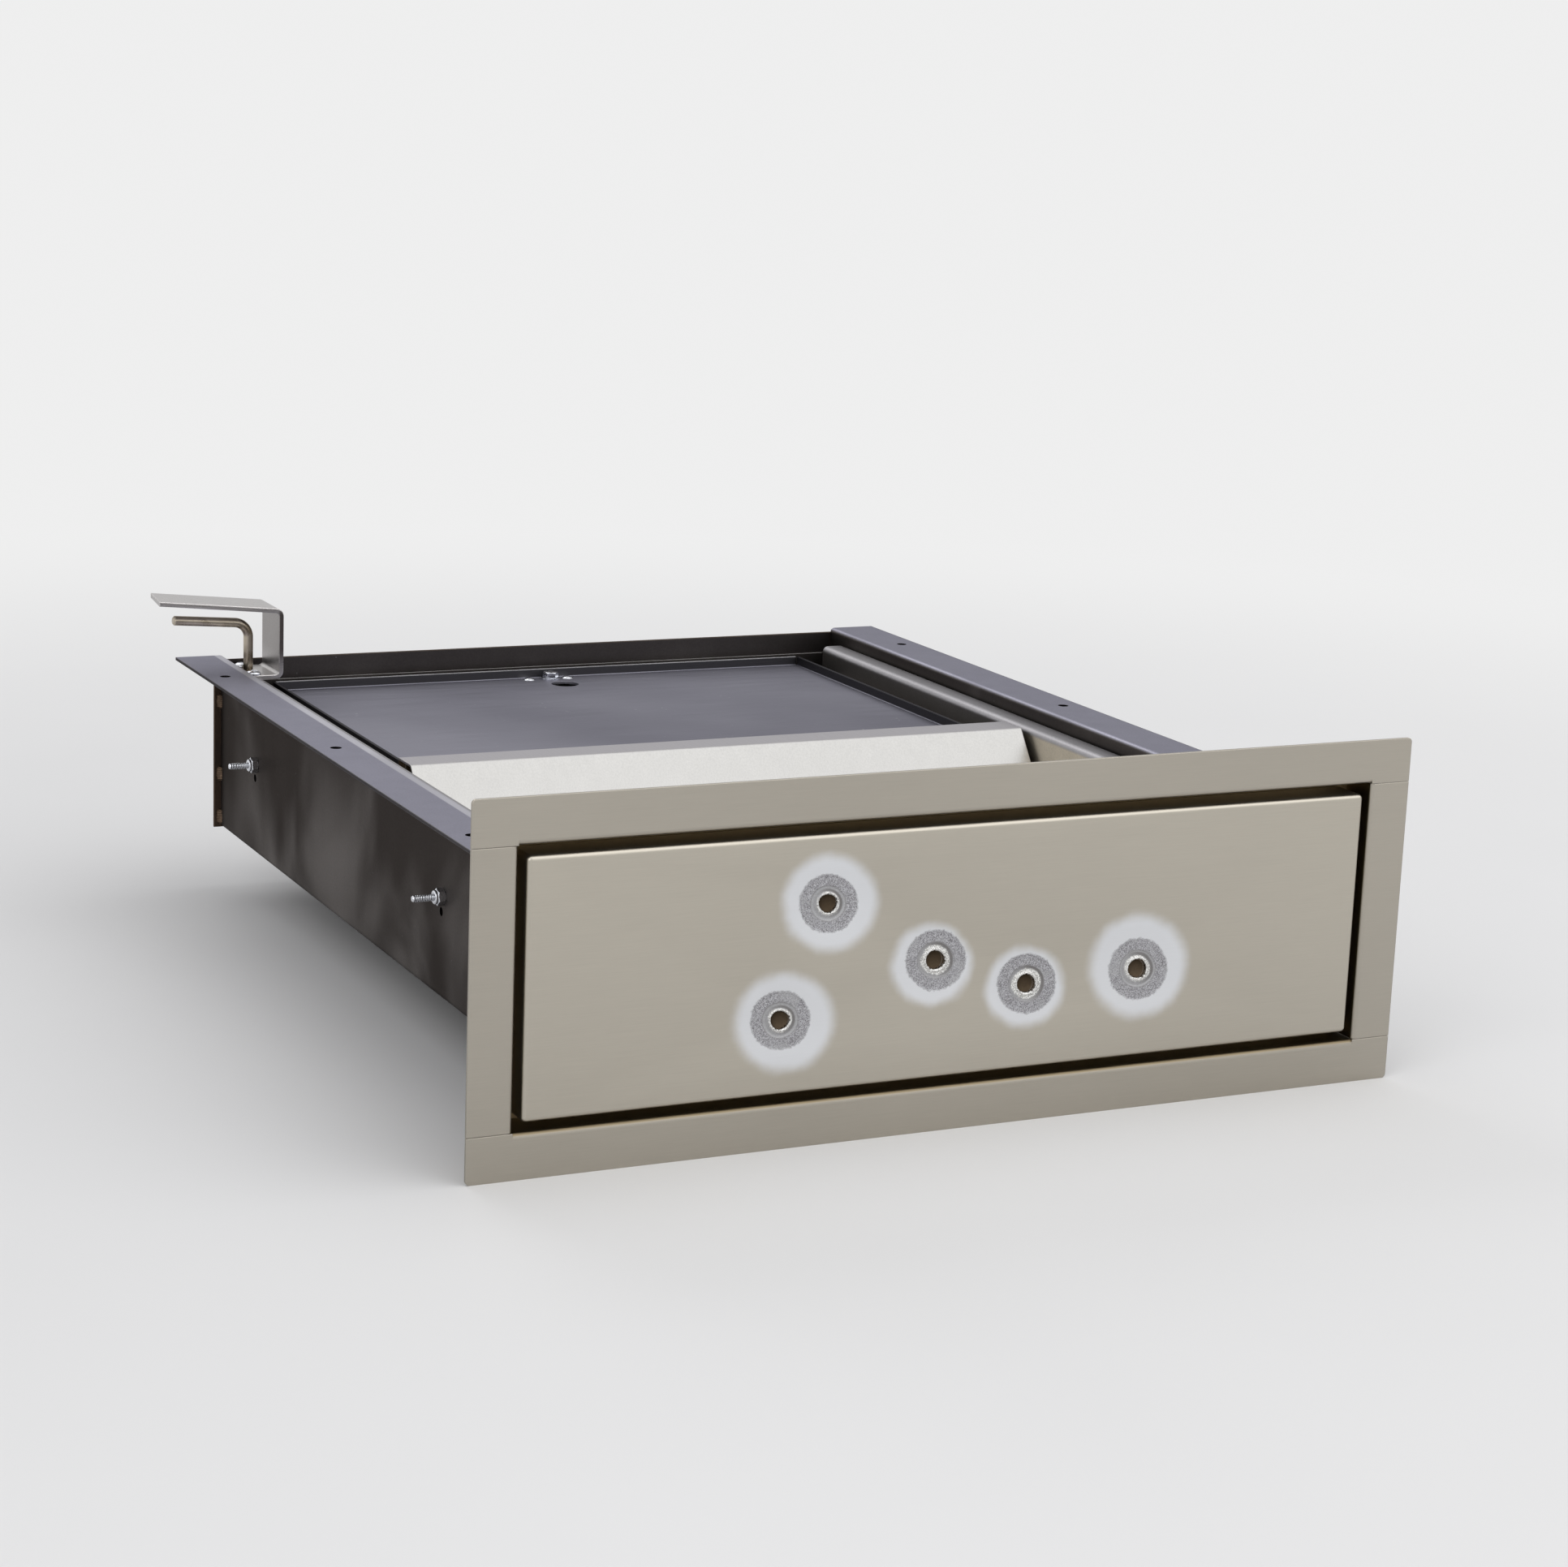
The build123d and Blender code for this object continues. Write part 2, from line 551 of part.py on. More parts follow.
# Hexagon nuts with a round nylon collar on the outside
with BuildPart() as slide_nuts:
    for hand, side in HANDS:
        for screw_y in SCREW_YS:
            seat = (side * WALL_OUT, screw_y, SLIDE_Z)
            with BuildSketch(facing(seat, (side, 0, 0))):
                RegularPolygon(NUT_FLATS / 2, 6, major_radius=False)
                Circle(SCREW_RADIUS + SCREW_PLAY, mode=Mode.SUBTRACT)
            extrude(amount=NUT_HEIGHT - NUT_COLLAR)
            collar = (side * (WALL_OUT + NUT_HEIGHT - NUT_COLLAR), screw_y, SLIDE_Z)
            with BuildSketch(facing(collar, (side, 0, 0))):
                Circle(NUT_COLLAR_RADIUS)
                Circle(SCREW_RADIUS + SCREW_PLAY, mode=Mode.SUBTRACT)
            extrude(amount=NUT_COLLAR)
save(slide_nuts, "slide_nuts")

# Rivets from the slides' inner members through the drawer's sides
with BuildPart() as slide_rivets:
    for hand, side in HANDS:
        for rivet_y in RIVET_YS:
            head = (side * SIDE_IN, rivet_y, SLIDE_Z)
            tail = (side * (SIDE_OUT + SLIDE_GAUGE), rivet_y, SLIDE_Z)
            stud(head, (side, 0, 0), RIVET_RADIUS, GAUGE + SLIDE_GAUGE)
            stud(head, (-side, 0, 0), RIVET_HEAD_RADIUS, RIVET_HEAD)
            stud(tail, (side, 0, 0), RIVET_TAIL_RADIUS, RIVET_HEAD)
save(slide_rivets, "slide_rivets")


# ---- Drawer box ----
STRAP_SCREWS = [(ROD_X + dx, HANDLE_Y + dy) for dx, dy in STRAP_SCREW_OFFSETS]
SIDE_BACKS = {"left": STRAP_BACK, "right": DRAWER_BACK - RIGHT_SIDE_SETBACK}
for hand, side in HANDS:
    with BuildPart() as drawer_side:
        path = (
            (side * FLANGE_EDGE, DRAWER_TOP),
            (side * SIDE_IN, DRAWER_TOP),
            (side * SIDE_IN, PAN_BOTTOM),
            (side * (SIDE_IN - SIDE_BOTTOM_FLANGE), PAN_BOTTOM),
        )
        length = SIDE_BACKS[hand] - TRAY_FRONT
        bends = (SIDE_ROLL, INNER_BEND)
        folded(Plane.XZ.offset(-SIDE_BACKS[hand]), path, bends, side * GAUGE, length)
        for rivet_y in RIVET_YS:
            with Locations(facing((side * SIDE_OUT, rivet_y, SLIDE_Z), (side, 0, 0))):
                Hole(RIVET_RADIUS + SCREW_PLAY, depth=GAUGE)
        if side < 0:
            with Locations((ROD_X, HANDLE_Y, DRAWER_TOP)):
                Hole(ROD_RADIUS + FIT, depth=GAUGE)
            with Locations([(x, y, DRAWER_TOP) for x, y in STRAP_SCREWS]):
                Hole(SCREW_RADIUS + SCREW_PLAY, depth=GAUGE)
            with Locations((ROD_X + SPARE_SPOT[0], HANDLE_Y + SPARE_SPOT[1], DRAWER_TOP)):
                Hole(SPARE_RADIUS, depth=GAUGE)
    save(drawer_side, f"drawer_side_{hand}")

BOLT_XS = (-BOLT_SPREAD / 2, BOLT_SPREAD / 2)
BOLT_ZS = (TRAY_FLOOR + BOLT_LOWER, TRAY_FLOOR + BOLT_LOWER + BOLT_RISE)
BOLT_SPOTS = [(x, z) for x in BOLT_XS for z in BOLT_ZS]


def bolt_holes(y, depth):
    """Clearance holes for the panel's bolts, from a face at y towards the customer."""
    for x, z in BOLT_SPOTS:
        with Locations(facing((x, y, z), (0, 1, 0))):
            Hole(BOLT_RADIUS + SCREW_PLAY, depth=depth)


# Tray floor with the front wall folded up
with BuildPart() as drawer_pan:
    path = (
        (TRAY_FRONT, DRAWER_TOP - PAN_DROP),
        (TRAY_FRONT, TRAY_FLOOR),
        (DRAWER_BACK, TRAY_FLOOR),
    )
    folded(Plane.YZ.offset(-PAN_HALF), path, (INNER_BEND,), -GAUGE, 2 * PAN_HALF)
    bolt_holes(TRAY_FRONT, GAUGE)
save(drawer_pan, "drawer_pan")

with BuildPart() as drawer_rear_wall:
    width = (-SIDE_IN, SIDE_IN)
    block(width, (DRAWER_BACK - GAUGE, DRAWER_BACK), (TRAY_FLOOR, REAR_WALL_TOP))
    ledge = (REAR_WALL_TOP - GAUGE, REAR_WALL_TOP)
    block(width, (DRAWER_BACK - REAR_LEDGE, DRAWER_BACK), ledge)
    for hand, side in HANDS:
        block(
            (side * (SIDE_IN - GAUGE), side * SIDE_IN),
            (DRAWER_BACK - REAR_RETURN, DRAWER_BACK),
            (TRAY_FLOOR, REAR_WALL_TOP),
        )
save(drawer_rear_wall, "drawer_rear_wall")

# ---- Front panel ----
with BuildPart() as front_skin:
    block((-PANEL_HALF, PANEL_HALF), (FACE_Y, PANEL_BACK), (PANEL_BOTTOM, PANEL_TOP))
    back_edges = front_skin.faces().sort_by(Axis.Y)[-1].edges()
    fillet(front_skin.edges() - back_edges, radius=PANEL_RADIUS)
    block(
        (-PANEL_HALF + GAUGE, PANEL_HALF - GAUGE),
        (ARMOUR_FRONT, PANEL_BACK),
        (PANEL_BOTTOM + GAUGE, PANEL_TOP - GAUGE),
        Mode.SUBTRACT,
    )
    for x, z in IMPACTS:
        with Locations(facing((x, FACE_Y, PANEL_MIDDLE + z), (0, -1, 0))):
            Hole(IMPACT_RADIUS, depth=GAUGE)
save(front_skin, "front_skin")

INSIDE_HALF = PANEL_HALF - GAUGE - PANEL_FIT
INSIDE_SPAN = (PANEL_BOTTOM + GAUGE + PANEL_FIT, PANEL_TOP - GAUGE - PANEL_FIT)
with BuildPart() as front_armor_plate:
    block((-INSIDE_HALF, INSIDE_HALF), (ARMOUR_FRONT, ARMOUR_BACK), INSIDE_SPAN)
    for x, z in IMPACTS:
        with Locations((x, ARMOUR_FRONT + CRATER_DEPTH - CRATER_RADIUS, PANEL_MIDDLE + z)):
            Sphere(CRATER_RADIUS, mode=Mode.SUBTRACT)
    bolt_holes(ARMOUR_BACK, BOLT_REACH)
save(front_armor_plate, "front_armor_plate")

with BuildPart() as front_laminate:
    block((-INSIDE_HALF, INSIDE_HALF), (ARMOUR_BACK, BACK_PLATE_FRONT), INSIDE_SPAN)
    bolt_holes(BACK_PLATE_FRONT, BACK_PLATE_FRONT - ARMOUR_BACK)
save(front_laminate, "front_laminate")

with BuildPart() as front_back_plate:
    block((-INSIDE_HALF, INSIDE_HALF), (BACK_PLATE_FRONT, PANEL_BACK), INSIDE_SPAN)
    bolt_holes(PANEL_BACK, GAUGE)
save(front_back_plate, "front_back_plate")

with BuildPart() as front_panel_bolts:
    for x, z in BOLT_SPOTS:
        seat = (x, TRAY_FRONT, z)
        stud(seat, (0, -1, 0), BOLT_RADIUS, TRAY_FRONT - ARMOUR_BACK + BOLT_REACH - FIT)
        stud(seat, (0, 1, 0), BOLT_HEAD_RADIUS, BOLT_HEAD)
save(front_panel_bolts, "front_panel_bolts")

# ---- Scoop and bulkhead ----
SCOOP_FLOOR = TRAY_FLOOR + SCOOP_GAUGE
SCOOP_FOOT = SCOOP_Y - (DRAWER_TOP - SCOOP_FLOOR) * tan(radians(SCOOP_ANGLE))
with BuildPart() as scoop_plate:
    path = (
        (SCOOP_Y + SCOOP_FLANGE, DRAWER_TOP),
        (SCOOP_Y, DRAWER_TOP),
        (SCOOP_FOOT, SCOOP_FLOOR),
        (TRAY_FRONT + LINER_GAP, SCOOP_FLOOR),
    )
    bends = (SCOOP_TOP_BEND, SCOOP_RADIUS)
    folded(Plane.YZ.offset(-SCOOP_HALF), path, bends, SCOOP_GAUGE, 2 * SCOOP_HALF)
save(scoop_plate, "scoop_plate")

with BuildPart() as rear_armor_plate:
    half = SIDE_IN - BULKHEAD_SIDE_GAP
    block((-half, half), (BULKHEAD_FRONT, BULKHEAD_BACK), (TRAY_FLOOR, DRAWER_TOP - SCOOP_GAUGE))
save(rear_armor_plate, "rear_armor_plate")

# ---- Deck: a tray of three rims turned up, with open corners ----
RIM_TOP = DECK_TOP + RIM_HEIGHT
RIM_FRONT = DECK_BACK - GAUGE
STRIKER_SPAN = (RIM_FRONT - STRIKER[1], RIM_FRONT)
BOLT_X, BOLT_Y = STRIKER_BOLT_X, RIM_FRONT - RIM_CLEARANCE - WASHER_RADIUS
DOME_Y = RIM_FRONT - RIM_CLEARANCE - DOME_RADIUS
DOME_XS = (-DOME_SPREAD / 2, DOME_SPREAD / 2)
FINGER_Y = DRAWER_BACK + FINGER_SPOT[1]
with BuildPart() as deck_plate:
    rim_start = HINGE_Y + RIM_SETBACK
    rim_radius = RIM_BEND + GAUGE
    corner_y = DECK_BACK - rim_radius
    corner_x = DECK_HALF - rim_radius
    block((-DECK_HALF, DECK_HALF), (DECK_FRONT, rim_start - FIT), (DECK_BOTTOM, DECK_TOP))
    block((-corner_x, corner_x), (DECK_FRONT, rim_start), (DECK_BOTTOM, DECK_TOP))
    path = (
        (-DECK_HALF, RIM_TOP),
        (-DECK_HALF, DECK_BOTTOM),
        (DECK_HALF, DECK_BOTTOM),
        (DECK_HALF, RIM_TOP),
    )
    bends = (rim_radius, rim_radius)
    folded(Plane.XZ.offset(-corner_y), path, bends, GAUGE, corner_y - rim_start)
    path = ((rim_start, DECK_BOTTOM), (DECK_BACK, DECK_BOTTOM), (DECK_BACK, RIM_TOP))
    folded(Plane.YZ.offset(-corner_x), path, (rim_radius,), GAUGE, 2 * corner_x)
    with Locations((FINGER_SPOT[0], FINGER_Y, DECK_TOP)):
        Hole(FINGER_RADIUS, depth=GAUGE)
    with Locations((BOLT_X, BOLT_Y, DECK_TOP)):
        Hole(STRIKER_BOLT_RADIUS + SCREW_PLAY, depth=GAUGE)
    with Locations([(x, DOME_Y, DECK_TOP) for x in DOME_XS]):
        Hole(DOME_SHANK_RADIUS + SCREW_PLAY, depth=GAUGE)
save(deck_plate, "deck_plate")

with BuildPart() as catch_striker:
    block(
        (-STRIKER[0] / 2, STRIKER[0] / 2),
        STRIKER_SPAN,
        (LEAF_BOTTOM, DECK_BOTTOM),
    )
    with Locations((BOLT_X, BOLT_Y, DECK_BOTTOM)):
        Hole(STRIKER_BOLT_RADIUS + SCREW_PLAY, depth=LEAF)
    with Locations([(x, DOME_Y, DECK_BOTTOM) for x in DOME_XS]):
        Hole(DOME_SHANK_RADIUS + SCREW_PLAY, depth=LEAF)
save(catch_striker, "catch_striker")

HEAD_SEAT = DECK_TOP + WASHER_THICKNESS
with BuildPart() as striker_bolt:
    with BuildSketch(Plane.XY.offset(HEAD_SEAT)):
        with Locations((BOLT_X, BOLT_Y)):
            RegularPolygon(STRIKER_FLATS / 2, 6, major_radius=False)
    extrude(amount=STRIKER_HEAD)
    tail = HEAD_SEAT - LEAF_BOTTOM + STRIKER_NUT + STRIKER_TAIL
    stud((BOLT_X, BOLT_Y, HEAD_SEAT), (0, 0, -1), STRIKER_BOLT_RADIUS, tail)
save(striker_bolt, "striker_bolt")

with BuildPart() as striker_washer:
    with BuildSketch(Plane.XY.offset(DECK_TOP)):
        with Locations((BOLT_X, BOLT_Y)):
            Circle(WASHER_RADIUS)
            Circle(STRIKER_BOLT_RADIUS + SCREW_PLAY, mode=Mode.SUBTRACT)
    extrude(amount=WASHER_THICKNESS)
save(striker_washer, "striker_washer")

with BuildPart() as striker_nut:
    with BuildSketch(Plane.XY.offset(LEAF_BOTTOM - STRIKER_NUT)):
        with Locations((BOLT_X, BOLT_Y)):
            RegularPolygon(STRIKER_FLATS / 2, 6, major_radius=False)
            Circle(STRIKER_BOLT_RADIUS + SCREW_PLAY, mode=Mode.SUBTRACT)
    extrude(amount=STRIKER_NUT)
save(striker_nut, "striker_nut")

# Low domed rivets through the deck and the striker
DOME_SPHERE = (DOME_RADIUS**2 + DOME_HEIGHT**2) / (2 * DOME_HEIGHT)
with BuildPart() as striker_rivets:
    for x in DOME_XS:
        with BuildSketch(Plane.XZ.offset(-DOME_Y)):
            with BuildLine():
                CenterArc((x, DECK_TOP + DOME_HEIGHT - DOME_SPHERE), DOME_SPHERE, 0, 90)
                Line((x, DECK_TOP + DOME_HEIGHT), (x, DECK_TOP + DOME_HEIGHT - DOME_SPHERE))
                Line(
                    (x, DECK_TOP + DOME_HEIGHT - DOME_SPHERE),
                    (x + DOME_SPHERE, DECK_TOP + DOME_HEIGHT - DOME_SPHERE),
                )
            make_face()
            with Locations((x, DECK_TOP - DOME_SPHERE)):
                Rectangle(4 * DOME_SPHERE, 2 * DOME_SPHERE, mode=Mode.SUBTRACT)
        revolve(axis=Axis((x, DOME_Y, 0), (0, 0, 1)))
        stud((x, DOME_Y, DECK_TOP), (0, 0, -1), DOME_SHANK_RADIUS, GAUGE + LEAF)
save(striker_rivets, "striker_rivets")

# Angles on the drawer's sides that carry the closed deck
LEDGE_TOP = DECK_BOTTOM - FIT
for hand, side in HANDS:
    with BuildPart() as deck_ledge:
        length = (HINGE_Y + LEDGE_START, DRAWER_BACK - REAR_RETURN - LEDGE_END_GAP)
        upright = (side * (SIDE_IN - GAUGE), side * SIDE_IN)
        block(upright, length, (LEDGE_TOP - LEDGE_DROP, LEDGE_TOP))
        shelf = (side * (SIDE_IN - LEDGE_REACH), side * SIDE_IN)
        block(shelf, length, (LEDGE_TOP - GAUGE, LEDGE_TOP))
    save(deck_ledge, f"deck_ledge_{hand}")

# Piano hinge: knuckles belong to the two leaves in turn
HINGE_HALF = DECK_HALF - HINGE_END_GAP
KNUCKLE_LENGTH = 2 * HINGE_HALF / KNUCKLE_COUNT
KNUCKLE_STARTS = [-HINGE_HALF + index * KNUCKLE_LENGTH for index in range(KNUCKLE_COUNT)]


def knuckles(first, tab_y, tab_z):
    """Every second knuckle, each with the tab that joins it to its leaf."""
    for start in KNUCKLE_STARTS[first::2]:
        span = (start + FIT / 2, start + KNUCKLE_LENGTH - FIT / 2)
        stud((span[0], HINGE_Y, HINGE_Z), (1, 0, 0), KNUCKLE_RADIUS, span[1] - span[0])
        block(span, tab_y, tab_z)


with BuildPart() as hinge_fixed_leaf:
    leaf_top = HINGE_Z - KNUCKLE_RADIUS - FIT
    face = (BULKHEAD_BACK, BULKHEAD_BACK + LEAF)
    block((-HINGE_HALF, HINGE_HALF), face, (leaf_top - LEAF_DEPTH, leaf_top))
    knuckles(0, face, (leaf_top, HINGE_Z))
    stud((-HINGE_HALF, HINGE_Y, HINGE_Z), (1, 0, 0), PIN_RADIUS + PIN_PLAY, 2 * HINGE_HALF, Mode.SUBTRACT)
save(hinge_fixed_leaf, "hinge_fixed_leaf")

with BuildPart() as hinge_moving_leaf:
    block((-HINGE_HALF, HINGE_HALF), (DECK_FRONT, DECK_FRONT + LEAF_DEPTH), (LEAF_BOTTOM, DECK_BOTTOM))
    knuckles(1, (HINGE_Y, DECK_FRONT), (LEAF_BOTTOM, DECK_BOTTOM))
    stud((-HINGE_HALF, HINGE_Y, HINGE_Z), (1, 0, 0), PIN_RADIUS + PIN_PLAY, 2 * HINGE_HALF, Mode.SUBTRACT)
save(hinge_moving_leaf, "hinge_moving_leaf")

with BuildPart() as hinge_pin:
    stud((-HINGE_HALF, HINGE_Y, HINGE_Z), (1, 0, 0), PIN_RADIUS, 2 * HINGE_HALF)
save(hinge_pin, "hinge_pin")

# Magnets on the rear wall's ledge, under the striker
with BuildPart() as catch_magnets:
    for hand, side in HANDS:
        middle = side * MAGNET_SPREAD / 2
        magnet_y = DRAWER_BACK - MAGNET_SETBACK
        block(
            (middle - MAGNET[0] / 2, middle + MAGNET[0] / 2),
            (magnet_y - MAGNET[1] / 2, magnet_y + MAGNET[1] / 2),
            (REAR_WALL_TOP, CATCH_TOP),
        )
save(catch_magnets, "catch_magnets")

# ---- Handle strap ----
CLIMB = tan(radians(STRAP_CLIMB))
ARM_AT_LEG = DRAWER_TOP + STRAP_HEIGHT
ARM_END = STRAP_LEG - STRAP_REACH
FOOT_TOP = DRAWER_TOP + STRAP_THICKNESS
with BuildPart() as handle_strap:
    path = (
        (-FLANGE_EDGE, DRAWER_TOP),
        (STRAP_LEG, DRAWER_TOP),
        (STRAP_LEG, ARM_AT_LEG),
        (ARM_END, ARM_AT_LEG + STRAP_REACH * CLIMB),
    )
    bends = (STRAP_BEND, STRAP_BEND)
    folded(Plane.XZ.offset(-STRAP_BACK), path, bends, STRAP_THICKNESS, STRAP_WIDTH)
    with BuildSketch(Plane.XY.offset(ARM_AT_LEG - STRAP_THICKNESS)):
        with BuildLine():
            Polyline(
                (ARM_END - STRAP_THICKNESS, STRAP_FRONT),
                (ARM_END, STRAP_FRONT),
                (ARM_END + STRAP_SKEW, STRAP_BACK),
                (ARM_END - STRAP_THICKNESS, STRAP_BACK),
                close=True,
            )
        make_face()
    extrude(amount=STRAP_HEIGHT, mode=Mode.SUBTRACT)
    with Locations((ROD_X, HANDLE_Y, FOOT_TOP)):
        Hole(ROD_RADIUS + FIT, depth=STRAP_THICKNESS)
    with Locations([(x, y, FOOT_TOP) for x, y in STRAP_SCREWS]):
        Hole(SCREW_RADIUS + SCREW_PLAY, depth=STRAP_THICKNESS)
save(handle_strap, "handle_strap")

FLANGE_UNDERSIDE = DRAWER_TOP - GAUGE
with BuildPart() as handle_screws:
    for x, y in STRAP_SCREWS:
        stud((x, y, FOOT_TOP), (0, 0, -1), SCREW_RADIUS, STRAP_THICKNESS + GAUGE + STRAP_NUT + STRAP_TAIL)
        stud((x, y, FOOT_TOP), (0, 0, 1), STRAP_HEAD_RADIUS, STRAP_HEAD)
    rims = handle_screws.edges().filter_by(GeomType.CIRCLE).group_by(Axis.Z)[-1]
    fillet(rims, radius=STRAP_HEAD / 2)
save(handle_screws, "handle_screws")

with BuildPart() as handle_nuts:
    for x, y in STRAP_SCREWS:
        with BuildSketch(Plane.XY.offset(FLANGE_UNDERSIDE - STRAP_NUT)):
            with Locations((x, y)):
                RegularPolygon(STRAP_NUT_FLATS / 2, 6, major_radius=False, rotation=30)
                Circle(SCREW_RADIUS + SCREW_PLAY, mode=Mode.SUBTRACT)
        extrude(amount=STRAP_NUT)
save(handle_nuts, "handle_nuts")

# ---- Lock rod ----
GUIDE_TOP = DRAWER_TOP - GUIDE_DROP
with BuildPart() as rod_guide:
    block(
        (-FLANGE_EDGE, -SIDE_OUT),
        (HANDLE_Y - GUIDE_WIDTH / 2, HANDLE_Y + GUIDE_WIDTH / 2),
        (GUIDE_TOP - GUIDE_THICKNESS, GUIDE_TOP),
    )
    with Locations((ROD_X, HANDLE_Y, GUIDE_TOP)):
        Hole(ROD_RADIUS + ROD_GUIDE_PLAY, depth=GUIDE_THICKNESS)
save(rod_guide, "rod_guide")

ROD_FOOT = (ROD_X, DRAWER_TOP - ROD_TAIL)
ROD_CORNER = (ROD_X, DRAWER_TOP + ROD_HEIGHT)
ROD_END = (ROD_X - ROD_REACH, ROD_CORNER[1] + ROD_REACH * tan(radians(ROD_CLIMB)))
with BuildPart() as lock_rod:
    with BuildLine(Plane.XZ.offset(-HANDLE_Y)) as rod_line:
        FilletPolyline(ROD_FOOT, ROD_CORNER, ROD_END, radius=ROD_BEND)
    with BuildSketch(Plane(origin=rod_line.line @ 0, z_dir=rod_line.line % 0)):
        Circle(ROD_RADIUS)
    sweep()
    tip = lock_rod.faces().sort_by(Axis.X)[0].edges()
    chamfer(tip, length=ROD_BEVEL / 2)
save(lock_rod, "lock_rod")

with BuildPart() as rod_clip:
    with BuildSketch(Plane.XY.offset(GUIDE_TOP + FIT)):
        with Locations((ROD_X, HANDLE_Y)):
            Circle(CLIP_RADIUS)
            Circle(ROD_RADIUS, mode=Mode.SUBTRACT)
    extrude(amount=CLIP_THICKNESS)
save(rod_clip, "rod_clip")
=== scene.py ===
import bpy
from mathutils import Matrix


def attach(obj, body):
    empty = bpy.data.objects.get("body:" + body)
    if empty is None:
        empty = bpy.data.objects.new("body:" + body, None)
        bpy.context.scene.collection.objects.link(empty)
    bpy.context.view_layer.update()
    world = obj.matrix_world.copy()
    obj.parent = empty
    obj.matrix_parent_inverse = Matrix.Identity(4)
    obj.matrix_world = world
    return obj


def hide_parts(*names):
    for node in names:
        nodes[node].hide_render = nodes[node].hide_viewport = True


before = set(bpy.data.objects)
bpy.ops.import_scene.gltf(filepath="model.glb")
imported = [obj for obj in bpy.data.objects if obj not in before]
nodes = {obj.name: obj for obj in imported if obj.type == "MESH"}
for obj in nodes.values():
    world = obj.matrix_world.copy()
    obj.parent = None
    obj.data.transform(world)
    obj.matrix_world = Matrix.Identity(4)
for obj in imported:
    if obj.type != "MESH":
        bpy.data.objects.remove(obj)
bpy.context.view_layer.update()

from math import pi, radians

import bmesh
import bpy
import numpy as np
from mathutils import Matrix, Vector
from mathutils.geometry import delaunay_2d_cdt


# ---- Faceplate ----
# Two rails and two stiles of stainless sheet, folded back round the opening, butted at the
# corners and welded to the ring behind them. The customer's side is brushed.
def tone(red, green, blue):
    """A colour seen as 0-255, in linear light: ((c / 255 + 0.055) / 1.055) ** 2.4."""
    return tuple(((c / 255 + 0.055) / 1.055) ** 2.4 for c in (red, green, blue)) + (1.0,)


def add(tree, kind, *sockets, **values):
    """A shader node. Names in small letters are its settings, the others its sockets."""
    made = tree.nodes.new("ShaderNode" + kind)
    for name, value in values.items():
        if name[0].islower():
            setattr(made, name, value)
    given = list(enumerate(sockets))
    for name, value in values.items():
        if name[0].isupper():
            given.append((name.replace("_", " "), value))
    for where, value in given:
        if isinstance(value, bpy.types.NodeSocket):
            tree.links.new(value, made.inputs[where])
        else:
            made.inputs[where].default_value = value
    return made


def maths(tree, operation, *sockets):
    """One step of arithmetic."""
    return add(tree, "Math", *sockets, operation=operation).outputs[0]


def ramp(tree, value, low, high, start=0.0, end=1.0):
    """start below low, end above high, and a smooth step between them."""
    made = add(
        tree,
        "MapRange",
        interpolation_type="SMOOTHSTEP",
        Value=value,
        From_Min=low,
        From_Max=high,
        To_Min=start,
        To_Max=end,
    )
    return made.outputs[0]


MM = 0.001


def rises(tree, value, low, high):
    """0 below low and 1 above high, both in millimetres."""
    return ramp(tree, value, low * MM, high * MM)


def falls(tree, value, low, high):
    """1 below low and 0 above high, both in millimetres."""
    return ramp(tree, value, low * MM, high * MM, 1.0, 0.0)


def times(tree, *values):
    """The product of several values."""
    total = values[0]
    for value in values[1:]:
        total = maths(tree, "MULTIPLY", total, value)
    return total


def blend(tree, amount, first, second):
    """first where amount is 0, second where it is 1."""
    made = add(tree, "Mix", data_type="RGBA")
    for index, value in ((0, amount), (6, first), (7, second)):
        if isinstance(value, bpy.types.NodeSocket):
            tree.links.new(value, made.inputs[index])
        else:
            made.inputs[index].default_value = value
    return made.outputs[2]


def effect(name, outputs, **inputs):
    """An empty shader group with named sockets."""
    tree = bpy.data.node_groups.new(name, "ShaderNodeTree")
    for label, value in inputs.items():
        kind = "NodeSocketVector" if isinstance(value, tuple) else "NodeSocketFloat"
        title = label.replace("_", " ")
        socket = tree.interface.new_socket(title, in_out="INPUT", socket_type=kind)
        socket.default_value = value
    for label, kind in outputs.items():
        tree.interface.new_socket(label, in_out="OUTPUT", socket_type="NodeSocket" + kind)
    entry = tree.nodes.new("NodeGroupInput").outputs
    leave = tree.nodes.new("NodeGroupOutput").inputs
    return tree, entry, leave


def use(tree, group, **values):
    """A copy of an effect in a material."""
    made = tree.nodes.new("ShaderNodeGroup")
    made.node_tree = group
    for name, value in values.items():
        if isinstance(value, bpy.types.NodeSocket):
            tree.links.new(value, made.inputs[name.replace("_", " ")])
        else:
            made.inputs[name.replace("_", " ")].default_value = value
    return made.outputs


# Grain runs along the vector's X: noise(x / length, y / width, z / width)
brushed_grain, entry, leave = effect(
    "brushed_grain",
    {"Lines": "Float", "Streaks": "Float", "Cloud": "Float"},
    Vector=(0.0, 0.0, 0.0),
    Length=0.05,
    Width=0.0006,
)
tree = brushed_grain
along = maths(tree, "DIVIDE", 1.0, entry["Length"])
across = maths(tree, "DIVIDE", 1.0, entry["Width"])
pull = add(tree, "CombineXYZ", along, across, across).outputs[0]
fine = add(tree, "VectorMath", entry["Vector"], pull, operation="MULTIPLY").outputs[0]
lines = add(tree, "TexNoise", Vector=fine, Scale=1.0, Detail=3.0, Roughness=0.6).outputs[0]
wide = add(tree, "VectorMath", fine, (0.35, 0.12, 0.12), operation="MULTIPLY").outputs[0]
